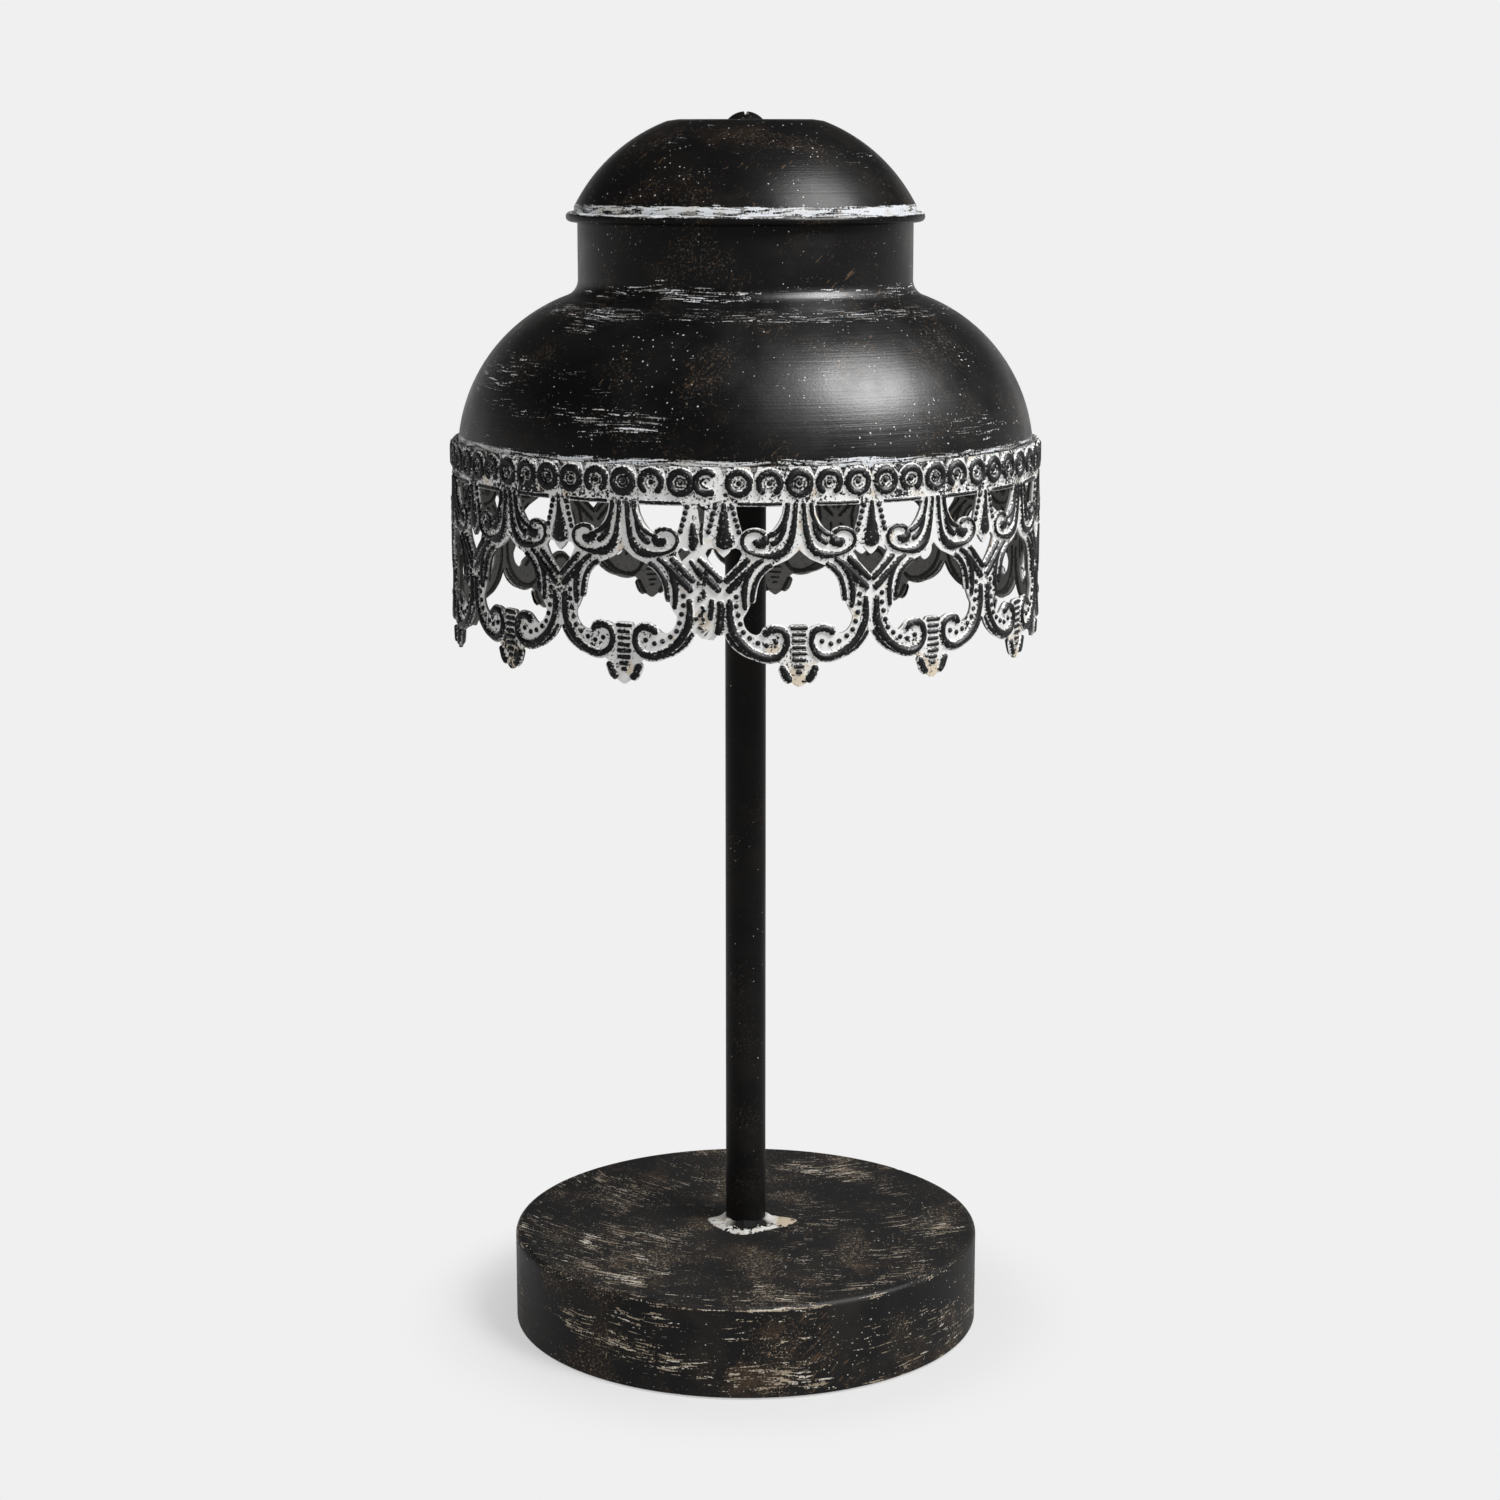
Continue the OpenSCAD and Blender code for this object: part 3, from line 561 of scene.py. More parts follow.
@dataclass(frozen=True)
class RibEnamel:
    """Enamel on the lace's raised lines, with wash left along their feet that grime and painted shade grey in
    patches.

    Attributes:
        name: The material's name.
        dark: The enamel on the crests.
        chalk: The wash at the feet.
        line: The crest height, from 0 to 1, where the one gives way to the other.
        scuff: How strongly the wash shows in scuffs on the crests.
        thin: A patch on the lantern's left side where the feet turn grey more often.
        gloss: The shader's specular level.
    """

    name: str
    dark: Colour
    chalk: Colour
    line: float
    scuff: float
    thin: WearPatch = LEFT_SIDE_DARKER
    gloss: float = 0.105

    def build(self) -> Material:
        """Make the material.

        Returns:
            The finished material.
        """
        nodes = FinishNodes(self.name)
        spot = TurnedPlace(nodes)
        place = spot.place
        crest = nodes.add("ShaderNodeAttribute", {}, attribute_name=LaceSkirt.CREST).outputs["Fac"]
        ragged = nodes.grain(place, 1500.0, 3.0, 0.6)
        patchy = nodes.grain(place, 120.0, 3.0)
        level = nodes.math("MULTIPLY_ADD", ragged, 1.5, crest)
        level = nodes.math("MULTIPLY_ADD", patchy, 0.8, level)
        bare = nodes.fade(level, self.line + 1.1, self.line + 1.2)
        worn = nodes.mix(nodes.fade(patchy, 0.5, 0.75), self.dark, tuple(2.2 * part for part in self.dark))
        scuffs = nodes.fade(nodes.grain(place, 1300.0, 3.0, 0.6), 0.62, 0.7, 0.0, self.scuff)
        worn = nodes.mix(scuffs, worn, self.chalk)
        # The feet turn grey in patches: partly grime and partly painted shade in the crease where a rib meets
        # the sheet.
        grime_and_painted_shade = nodes.math("MULTIPLY_ADD", self.thin.mask(nodes, spot), 3.0 * self.thin.cover, ragged)
        grey = tuple(0.25 * part for part in self.chalk)
        grimy_and_shaded = nodes.mix(nodes.fade(grime_and_painted_shade, 0.46, 0.74), self.chalk, grey)
        colour = nodes.mix(bare, grimy_and_shaded, worn)
        normal = nodes.relief(ragged, 0.5, 0.0003)
        rough = nodes.fade(ragged, 0.3, 0.7, 0.36, 0.56)
        return nodes.finish(Base_Color=colour, Roughness=rough, Normal=normal, Specular_IOR_Level=self.gloss)


@dataclass(frozen=True)
class MottledFinish:
    """A plain finish of a hidden or small piece, with the mottling and fine grain of its material.

    Attributes:
        name: The material's name.
        light: The colour.
        deep: The colour where it is darker.
        spread: Size of the mottling in millimetres.
        grain_size: Size of the fine grain in millimetres.
        rough: The roughness.
        metal: How metallic it is.
        bump: How strong the grain is.
        glow: How much light passes through it.
    """

    name: str
    light: Colour
    deep: Colour
    spread: float
    grain_size: float
    rough: float
    metal: float = 0.0
    bump: float = 0.15
    glow: float = 0.0

    def build(self) -> Material:
        """Make the material.

        Returns:
            The finished material.
        """
        nodes = FinishNodes(self.name)
        place = nodes.object_place()
        mottle = nodes.grain(place, 1 / (self.spread * MM), 3.0, 0.55)
        grain = nodes.grain(place, 1 / (self.grain_size * MM), 2.0)
        colour = nodes.mix(nodes.fade(mottle, 0.35, 0.7), self.light, self.deep)
        rough = nodes.fade(mottle, 0.3, 0.7, self.rough - 0.06, self.rough + 0.08)
        normal = nodes.relief(grain, self.bump, 0.2 * self.grain_size * MM)
        return nodes.finish(Base_Color=colour, Roughness=rough, Normal=normal, Metallic=self.metal,
                            Transmission_Weight=self.glow)


@dataclass(frozen=True)
class CellWrap:
    """The printed wrap of a battery: a plain body, a pale belt and bare metal at both ends.

    Attributes:
        name: The material's name.
        way: 1 where the battery's tip points to the back, -1 where it points to the front.
        body: The wrap.
        belt: The belt near the tip.
        metal: The ends.
        split: Where the belt begins, in millimetres from the battery's middle.
        end: Where the wrap ends.
    """

    name: str
    way: int
    body: Colour = (0.035, 0.09, 0.075)
    belt: Colour = (0.5, 0.5, 0.48)
    metal: Colour = (0.62, 0.61, 0.59)
    split: float = 11.0
    end: float = 24.0

    def build(self) -> Material:
        """Make the material.

        Returns:
            The finished material.
        """
        nodes = FinishNodes(self.name)
        spot = TurnedPlace(nodes)
        along = nodes.math("MULTIPLY", spot.y, self.way / MM)
        scuffs = nodes.grain(nodes.stretched(spot.place, (900, 220, 900)), 1.0, 3.0, 0.6)
        colour = nodes.mix(nodes.fade(along, self.split, self.split + 0.25), self.body, self.belt)
        off = nodes.math("ABSOLUTE", nodes.math("SUBTRACT", along, self.split - 1.6))
        colour = nodes.mix(nodes.fade(off, 0.3, 0.45, 1.0, 0.0), colour, self.belt)
        colour = nodes.mix(nodes.fade(scuffs, 0.6, 0.75, 0.0, 0.35), colour, self.belt)
        bare = nodes.fade(nodes.math("ABSOLUTE", along), self.end, self.end + 0.2)
        colour = nodes.mix(bare, colour, self.metal)
        rough = nodes.fade(scuffs, 0.35, 0.7, 0.26, 0.42)
        normal = nodes.relief(scuffs, 0.12, 0.0001)
        return nodes.finish(Base_Color=colour, Roughness=rough, Normal=normal, Metallic=bare)


@dataclass(frozen=True)
class LumpyFiller:
    """Pale filler smeared round the stem's foot, with the stem's black run over it at the front.

    Attributes:
        name: The material's name.
        pale: The filler.
        cream: The filler where it has yellowed.
        stain: Dirt in its hollows, round its rim and where the stem's paint ran over it.
        seat: Height of the base's top in millimetres.
        run: Middle and half width of the run of paint, in degrees, and its lowest height on the filler.
        tongue: Middle and half width of the yellowed tongue, in degrees, and how far out it begins.
        cleft: Middle and half width of the dirty hollow beside the tongue, in degrees.
        gloss: The shader's specular level.
    """

    name: str = "stem_filler"
    pale: Colour = (0.72, 0.71, 0.68)
    cream: Colour = (0.56, 0.47, 0.35)
    stain: Colour = (0.005, 0.0046, 0.0044)
    seat: float = 28.0
    run: Station = (10.0, 52.0, 0.7)
    tongue: Station = (92.0, 30.0, 9.0)
    cleft: Point = (56.0, 9.0)
    gloss: float = 0.06

    def build(self) -> Material:
        """Make the material.

        Returns:
            The finished material.
        """
        nodes = FinishNodes(self.name)
        spot = TurnedPlace(nodes)
        lumps = nodes.grain(spot.place, 420.0, 4.0, 0.6)
        dirt = nodes.grain(spot.place, 260.0, 4.0, 0.65)
        ragged = nodes.math("SUBTRACT", nodes.grain(spot.place, 640.0, 3.0, 0.6), 0.5)
        rise = nodes.math("MULTIPLY_ADD", ragged, 1.9, nodes.math("SUBTRACT", spot.height, self.seat))

        def sector(middle: float, half: float) -> Socket:
            """Give 1 within an angle of a middle, softly falling to 0 outside."""
            off = nodes.math("ABSOLUTE", nodes.math("SUBTRACT", spot.angle, middle))
            return nodes.fade(off, half * 0.7, half * 1.3, 1.0, 0.0)

        far = nodes.fade(spot.radius, self.tongue[2] * MM, (self.tongue[2] + 1.5) * MM)
        yellow = nodes.math("MULTIPLY", sector(*self.tongue[:2]), far)
        yellow = nodes.math("MAXIMUM", nodes.fade(lumps, 0.48, 0.66, 0.0, 0.7), yellow)
        run_over = nodes.fade(rise, self.run[2], self.run[2] + 0.25)
        black = nodes.math("MULTIPLY", sector(*self.run[:2]), run_over)
        hollow = nodes.math("MULTIPLY_ADD", sector(*self.cleft), 0.13, dirt)
        black = nodes.math("MAXIMUM", black, nodes.fade(hollow, 0.57, 0.63))
        black = nodes.math("MAXIMUM", black, nodes.fade(rise, -0.05, 0.12, 1.0, 0.0))
        colour = nodes.mix(yellow, self.pale, self.cream)
        colour = nodes.mix(black, colour, self.stain)
        normal = nodes.relief(lumps, 0.7, 0.0006)
        return nodes.finish(Base_Color=colour, Roughness=0.8, Normal=normal, Specular_IOR_Level=self.gloss)


def as_object(name: str, shape: Mesh) -> bpy.types.Object:
    """Turn a bmesh into an object in the scene.

    Args:
        name: The name of the object and of its mesh.
        shape: The bmesh, which is freed.

    Returns:
        The object.
    """
    mesh = bpy.data.meshes.new(name)
    shape.to_mesh(mesh)
    shape.free()
    made = bpy.data.objects.new(name, mesh)
    bpy.context.scene.collection.objects.link(made)
    return made


@dataclass(frozen=True)
class PieceMaker:
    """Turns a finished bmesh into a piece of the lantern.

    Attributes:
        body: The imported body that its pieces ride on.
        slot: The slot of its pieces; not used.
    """

    body: Body
    slot: Slot

    def place(self, name: str, shape: Mesh, finish: Material,
              stands_for: Iterable[str] = ()) -> bpy.types.Object:
        """Make the piece's object.

        Args:
            name: The piece's name.
            shape: Its mesh, which is freed.
            finish: Its material.
            stands_for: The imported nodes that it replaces.

        Returns:
            The piece.
        """
        piece = as_object(name, shape)
        piece.data.shade_smooth()
        piece.data.materials.append(finish)
        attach(piece, self.body.value)
        nodes = tuple(stands_for)
        if nodes:
            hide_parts(*nodes)
        LOG.info("%s: %d faces", name, len(piece.data.polygons))
        return piece


def dress(node: str, finish: Material) -> None:
    """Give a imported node's own shape a finish.

    Args:
        node: The node's name.
        finish: Its material.
    """
    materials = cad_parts[node].data.materials
    materials.clear()
    materials.append(finish)
    LOG.info("%s: %s", node, finish.name)


def spun(outline: Sequence[Point], steps: int) -> Mesh:
    """Turn a closed outline round the lantern's axis.

    Args:
        outline: Points (radius, height) in millimetres, in order.
        steps: Steps round the axis.

    Returns:
        The turned mesh.
    """
    shape = bmesh.new()
    verts = [shape.verts.new((radius * MM, 0.0, height * MM)) for radius, height in outline]
    edges = [shape.edges.new(pair) for pair in zip(verts, verts[1:] + verts[:1])]
    bmesh.ops.spin(shape, geom=verts + edges, cent=(0, 0, 0), axis=(0, 0, 1), dvec=(0, 0, 0),
                   angle=math.tau, steps=steps, use_merge=True, use_duplicate=False)
    bmesh.ops.remove_doubles(shape, verts=shape.verts, dist=1e-6)
    bmesh.ops.recalc_face_normals(shape, faces=shape.faces)
    return shape


def arc(middle: Point, radius: float, start: float, end: float, steps: int) -> list[Point]:
    """Give points on an arc, from one angle in degrees from straight out to another, both included."""
    turns = [math.radians(start + (end - start) * step / steps) for step in range(steps + 1)]
    return [(middle[0] + radius * math.cos(turn), middle[1] + radius * math.sin(turn)) for turn in turns]


@dataclass
class Shade:
    """The spun cap, whose rim is rolled into a bead, and the bell that hangs under it.

    Attributes:
        top: Height of the flat top in millimetres.
        flat_r: Radius of the flat top.
        hole_r: Radius of the screw's hole.
        dome: Middle of the domed side's arc.
        dome_r: Radius of the domed side.
        skirt_r: Outer radius of the straight skirt.
        skirt_top: Height of the skirt's top.
        bead: Middle of the rolled bead.
        bead_r: Radius of the bead.
        roll: The angles in degrees where the bead's roll starts and ends.
        roll_steps: Steps round the bead.
        dome_steps: Steps down the domed side.
        sheet: Thickness of the metal.
        steps: Steps round the axis.
    """

    top: float = 358.0
    flat_r: float = 21.0
    hole_r: float = 2.2
    dome: Point = (4.855, 311.207)
    dome_r: float = 49.5
    skirt_r: float = 49.0
    skirt_top: float = 333.6
    bead: Point = (50.0, 330.8)
    bead_r: float = 1.4
    roll: Point = (118.0, -205.0)
    roll_steps: int = 16
    dome_steps: int = 22
    sheet: float = 0.8
    steps: int = 160

    def dome_points(self, radius: float, first: float, last: float) -> list[Point]:
        """Give points down the domed side at a radius, from one angle to another."""
        return arc(self.dome, radius, first, last, self.dome_steps)

    def cap_outline(self) -> list[Point]:
        """Give the cap's section, down its outside, round the bead and up its inside.

        Returns:
            Points (radius, height) in millimetres.
        """
        start = math.degrees(math.atan2(self.top - self.dome[1], self.flat_r - self.dome[0]))
        end = math.degrees(math.atan2(self.skirt_top - self.dome[1], self.skirt_r - self.dome[0]))
        middle = 0.6 * self.flat_r
        under = self.top - self.sheet
        skirt_in = self.skirt_r - self.sheet
        bead_top = self.bead[1] + self.bead_r
        outside = [(self.hole_r, self.top), (middle, self.top), (self.flat_r - 1.8, self.top - 0.02)]
        outside += self.dome_points(self.dome_r, start - 1.6, end)
        outside += [(self.skirt_r, self.skirt_top - 1.0), (self.skirt_r + 0.05, bead_top - 0.35)]
        bead = arc(self.bead, self.bead_r, *self.roll, self.roll_steps)
        inside = [(skirt_in, self.bead[1]), (skirt_in, self.skirt_top - 0.3)]
        inside += self.dome_points(self.dome_r - self.sheet, end, start - 1.0)
        inside += [(middle, under), (self.hole_r, under)]
        return outside + bead + inside

    def build(self, cap: Material, bell: Material) -> None:
        """Make the cap and dress the bell and the screw.

        Args:
            cap: The finish of the cap and its screw.
            bell: The bell's finish.
        """
        maker = PieceMaker(Body.LANTERN, Slot.SHADE)
        maker.place("shade_cap_spun", spun(self.cap_outline(), self.steps), cap, ["shade_cap"])
        dress("top_screw", cap)
        dress("shade_bell", bell)


@dataclass(frozen=True)
class Rib:
    """A raised line of the lace's ornament.

    Attributes:
        line: Points (across from the motif's middle, height above the table, width) in millimetres.
        rise: Height of its crest over the sheet in millimetres.
        pale: How far its crest is kept under the wash, from 0 to 1.
        ring: Whether its end joins its start.
    """

    # Sections at a loose end and where the even ones begin, in widths of the rib
    TIPS = (0.0, 0.13, 0.38)
    CLEAR = 0.55
    # Steps of the curve between two points
    STEPS = 6

    line: tuple[Station, ...]
    rise: float = 0.95
    pale: float = 0.0
    ring: bool = False

    def stations(self, spacing: float) -> list[tuple[float, float, float, float]]:
        """Give points along the smoothed line.

        Args:
            spacing: Their distance in millimetres.

        Returns:
            Points (across, height, width, share of the full section), narrowed at loose ends.
        """
        smooth = self.smoothed()
        run = [0.0]
        for here, there in zip(smooth, smooth[1:]):
            run.append(run[-1] + math.dist(here[:2], there[:2]))
        total = run[-1]
        count = max(3, round(total / spacing))
        marks = [total * step / count for step in range(count + 1)]
        if not self.ring:
            first, last = smooth[0][2], smooth[-1][2]
            even = [mark for mark in marks if self.CLEAR * first < mark < total - self.CLEAR * last]
            marks = [tip * first for tip in self.TIPS] + even
            marks += [total - tip * last for tip in reversed(self.TIPS)]
        found = []
        for mark in marks:
            index = max(0, min(len(run) - 2, sum(1 for length in run if length <= mark) - 1))
            share = (mark - run[index]) / max(run[index + 1] - run[index], 1e-9)
            here, there = smooth[index], smooth[index + 1]
            across, height, width = (a + (b - a) * share for a, b in zip(here, there))
            full = 1.0
            if not self.ring:
                near = min(mark, total - mark) / (0.5 * width)
                full = math.sqrt(max(0.02, 1.0 - (1.0 - min(near, 1.0)) ** 2))
            found.append((across, height, width, full))
        return found

    def smoothed(self) -> list[Station]:
        """Lay a Catmull-Rom curve through the line's points.

        Returns:
            Points (across, height, width) along it.
        """
        points = [Vector(point) for point in self.line]
        last = len(points) - 1
        found = []
        for index in range(last):
            before = points[last - 1] if self.ring and index == 0 else points[max(index - 1, 0)]
            after = points[1] if self.ring and index == last - 1 else points[min(index + 2, last)]
            here, there = points[index], points[index + 1]
            for step in range(self.STEPS):
                t = step / self.STEPS
                bend = 2 * before - 5 * here + 4 * there - after
                bend += t * (3 * here - before - 3 * there + after)
                found.append(tuple(here + 0.5 * t * ((there - before) + t * bend)))
        return found + [tuple(points[last])]


@dataclass(frozen=True)
class LaceWall:
    """A face of the lace's sheet that relief stands on.

    Attributes:
        radius: Its radius in millimetres.
        way: 1 outwards, -1 inwards.
        depth: How much of a rib's rise shows on it.
        section: Points (across, lift, crest) of a rib's section, as shares of half its width and of its rise.
        spacing: Distance between the sections along a rib.
        bold: How much wider ribs are here than they are drawn.
    """

    radius: float
    way: int
    depth: float
    section: tuple[Station, ...]
    spacing: float
    bold: float

    def point(self, across: float, height: float, lift: float) -> Vector:
        """Give the place of a point on the motif that faces the front.

        Args:
            across: Distance from the motif's middle in millimetres.
            height: Height above the table.
            lift: How far it stands off the sheet.

        Returns:
            The place in metres.
        """
        turn = across / LaceSkirt.DRAWN_R
        radius = self.radius + self.way * lift
        return Vector((radius * math.sin(turn), -radius * math.cos(turn), height)) * MM


OUTER_SECTION = ((-1.25, -0.12, 0.0), (-0.88, 0.3, 0.3), (-0.5, 0.82, 0.8), (0.0, 1.0, 1.0),
                 (0.5, 0.82, 0.8), (0.88, 0.3, 0.3), (1.25, -0.12, 0.0))
INNER_SECTION = ((-1.0, -0.25, 0.0), (0.0, 1.0, 1.0), (1.0, -0.25, 0.0))
OUTER_WALL = LaceWall(84.5, 1, 1.0, OUTER_SECTION, 0.75, 1.44)
INNER_WALL = LaceWall(83.5, -1, 0.5, INNER_SECTION, 1.2, 1.2)
RING_STEPS = 10


def ring_line(middle: Point, radius: float, width: float, start: float = 0.0, end: float = 360.0
              ) -> tuple[Station, ...]:
    """Give the points of a round rib of one width, between two angles in degrees from straight right."""
    return tuple((across, height, width) for across, height in arc(middle, radius, start, end, RING_STEPS))


@dataclass
class LaceSkirt:
    """The stamped lace round the shade's rim: rings, lilies, scrolls and beads on a pierced strip.

    Attributes:
        motifs: How many there are.
        pitch: The angle of one in degrees.
        first: Angle of the first one's middle.
        half: Half a motif's width in millimetres.
        rings: Rings along a motif's top, of which every second one is open below.
        ring_z: Height of their middles.
        ring: A ring's radius, width and rise.
        open_ring: The angles in degrees where an open ring starts and ends.
        boss: Radius, width and rise of the small ring inside it.
        boss_pale: How far that one's crest is kept under the wash.
        boss_bead: Radius of the bead in its middle.
        paired: Ribs of a motif's right half, which its left half mirrors.
        ridges: Points (height, width) of the ridges across its tail.
        ridge_w: How wide a ridge is at its ends and in its middle.
        ridge_rise: How high it stands.
        beads: Places (across, height) of the beads along its scroll.
        bead_r: Radius of a bead.
        pins: Places of the pins beside the drop.
        pin_r: Radius of a pin.
        lap: Ribs of the half motif that is lapped over the joint.
        drop: Line of the drop between two motifs.
        drop_rise: How high it stands.
        solder: How many smears of solder hold the joint.
        solder_top: Middle of the highest one.
        solder_step: How far each lies below the last one.
        solder_stray: How far they stray across and up.
    """

    CREST = "crest"
    DRAWN_R = 85.0
    SEED = 11
    # A bead's facets, its height against its width, its lift in millimetres and how bare its foot is
    FACETS = {"u_segments": 8, "v_segments": 5}
    SQUASH = 0.8
    LIFT = 0.05
    FOOT = 0.35

    motifs: int = 13
    pitch: float = 27.3
    first: float = 9.8
    half: float = 20.25
    rings: int = 5
    ring_z: float = 263.7
    ring: Station = (2.9, 1.6, 1.0)
    open_ring: Point = (-68.0, 248.0)
    boss: Station = (1.3, 0.7, 0.6)
    boss_pale: float = 0.5
    boss_bead: float = 0.75
    paired: tuple[Rib, ...] = (
        # Lily petal that runs into the volute's rim
        Rib(((1.0, 258.7, 0.95), (1.25, 255.2, 1.0), (1.6, 252.0, 1.2), (2.2, 249.0, 1.5),
             (3.3, 246.5, 1.9), (5.1, 245.0, 1.9), (7.3, 244.4, 1.6), (9.8, 244.5, 1.1),
             (12.3, 245.0, 0.85), (14.5, 246.3, 0.9), (15.4, 248.4, 0.9), (14.6, 250.3, 0.85),
             (12.6, 251.2, 0.8), (10.5, 251.0, 0.9), (9.3, 250.0, 1.2))),
        # Hook in the volute's middle
        Rib(((9.3, 250.0, 1.4), (9.2, 248.6, 2.0), (10.2, 247.7, 2.3), (11.5, 248.0, 2.0),
             (11.9, 249.0, 1.3))),
        # Outer petal along the leaf-shaped opening
        Rib(((3.15, 258.7, 1.0), (3.3, 256.4, 1.0), (3.9, 254.0, 1.05), (5.2, 251.8, 1.1),
             (6.9, 250.3, 1.1), (8.7, 249.6, 0.9))),
        # Leaf between the petals
        Rib(((3.7, 253.9, 0.6), (4.2, 251.6, 1.1), (5.1, 249.5, 1.3), (6.4, 248.1, 1.4),
             (7.9, 247.5, 1.2))),
        # The two lines of the crown opening's frame
        Rib(((7.2, 242.2, 1.1), (9.4, 240.8, 1.1), (11.3, 238.4, 1.1), (12.2, 235.7, 1.1),
             (12.6, 233.0, 1.1), (12.9, 231.8, 0.9))),
        Rib(((9.6, 243.5, 1.0), (12.2, 241.7, 1.3), (14.0, 238.6, 1.4), (14.8, 235.2, 1.4),
             (14.8, 232.2, 1.3), (14.4, 229.8, 1.0))),
        # The two lines of the slanting bar
        Rib(((13.3, 243.8, 1.2), (15.2, 242.0, 1.4), (17.6, 239.6, 1.4), (20.1, 237.2, 1.3))),
        Rib(((12.6, 241.6, 1.1), (14.8, 239.3, 1.5), (17.2, 236.8, 1.6), (19.5, 234.6, 1.4))),
        # The big scroll's outer rim, curling into the lower volute
        Rib(((18.5, 233.0, 1.2), (18.7, 229.2, 1.6), (18.2, 225.6, 1.75), (16.6, 222.3, 1.8),
             (13.9, 219.4, 1.8), (10.9, 217.6, 1.75), (8.0, 216.9, 1.7), (5.6, 217.4, 1.6),
             (3.9, 219.1, 1.5), (3.3, 221.3, 1.45), (3.8, 223.5, 1.45), (5.3, 224.6, 1.5),
             (7.2, 224.7, 1.6), (8.8, 223.9, 1.7), (9.3, 222.7, 1.4)), 1.1),
        # Low edge of the sheet below that rim
        Rib(((19.5, 223.7, 0.9), (18.2, 221.7, 1.1), (16.6, 220.0, 1.2), (13.3, 217.9, 1.15),
             (8.8, 216.75, 1.0), (6.0, 216.3, 0.8)), 0.4),
        # Rim of the tail's lobe
        Rib(((4.8, 214.9, 1.3), (4.0, 213.3, 1.6), (3.3, 211.7, 1.6), (2.0, 210.4, 1.2))),
        # Ledge under the rings
        Rib(((4.6, 258.3, 0.7), (10.0, 258.25, 0.75), (16.6, 258.3, 0.7)), 0.5),
    )
    ridges: tuple[Point, ...] = ((224.9, 4.9), (223.2, 4.1), (221.5, 4.0), (219.7, 3.9), (218.0, 4.4),
                                 (216.3, 4.1), (214.6, 3.1), (213.0, 1.9))
    ridge_w: Point = (0.85, 0.9)
    ridge_rise: float = 0.6
    beads: tuple[Point, ...] = ((16.9, 233.5), (16.9, 231.0), (16.4, 228.6), (15.8, 226.2), (15.0, 224.0),
                                (13.3, 222.4), (11.1, 221.1), (8.8, 220.4), (6.3, 221.2))
    bead_r: float = 0.76
    pins: tuple[Point, ...] = ((18.0, 257.3), (17.5, 255.7), (17.1, 254.0), (16.6, 252.4), (16.2, 250.8))
    pin_r: float = 0.78
    lap: tuple[Rib, ...] = (
        # Slanting bars, scroll and ring of the half motif that is lapped over the joint
        Rib(((-27.2, 243.8, 1.2), (-25.3, 242.0, 1.4), (-22.9, 239.6, 1.4), (-20.6, 237.4, 1.3))),
        Rib(((-27.5, 241.2, 1.1), (-25.7, 239.3, 1.5), (-23.3, 236.8, 1.6), (-21.0, 234.8, 1.4))),
        Rib(((-21.2, 232.6, 1.5), (-21.0, 229.0, 1.9), (-21.3, 225.6, 2.0), (-22.2, 223.2, 1.5)), 1.1),
        Rib(((-23.4, 233.0, 1.2), (-23.6, 230.0, 1.4), (-23.9, 227.0, 1.2))),
        Rib(ring_line((-24.9, 263.8), 2.9, 1.45, 35.0, 318.0)),
        Rib(ring_line((-24.9, 263.8), 1.25, 0.7, 20.0, 300.0), 0.6, 0.4),
        # Half of the drop that the lap covers, and the worn edge of the lap
        Rib(((-28.6, 253.2, 0.8), (-28.4, 250.8, 1.5), (-28.2, 248.6, 2.1), (-28.5, 246.7, 1.9),
             (-29.0, 245.7, 1.2))),
        Rib(((-25.9, 253.4, 0.6), (-26.3, 250.4, 0.8), (-26.1, 247.2, 0.7)), 0.5),
        Rib(((-29.4, 243.2, 0.9), (-27.9, 240.9, 1.1), (-26.6, 238.6, 0.9)), 0.6),
    )
    drop: tuple[Station, ...] = ((0.0, 258.7, 0.9), (0.0, 256.5, 1.2), (0.0, 254.0, 1.7), (0.0, 251.5, 2.5),
                                 (0.0, 249.0, 3.6), (0.0, 247.2, 4.0), (0.0, 246.0, 2.9))
    drop_rise: float = 0.9
    solder: int = 26
    solder_top: Point = (-26.0, 240.5)
    solder_step: float = 0.68
    solder_stray: Point = (2.6, 1.5)

    def crest_layer(self, shape: Mesh) -> bmesh.types.BMLayerItem:
        """Give the layer that tells a finish how near to a crest a point is."""
        return shape.verts.layers.float.get(self.CREST) or shape.verts.layers.float.new(self.CREST)

    @staticmethod
    def everything(shape: Mesh) -> list:
        """List a mesh's points, edges and faces."""
        return shape.verts[:] + shape.edges[:] + shape.faces[:]

    @staticmethod
    def grown_from(vert: bmesh.types.BMVert, made: set) -> bmesh.types.BMVert:
        """Give the point that an extrusion made from another one."""
        others = (edge.other_vert(vert) for edge in vert.link_edges)
        return next(other for other in others if other in made)

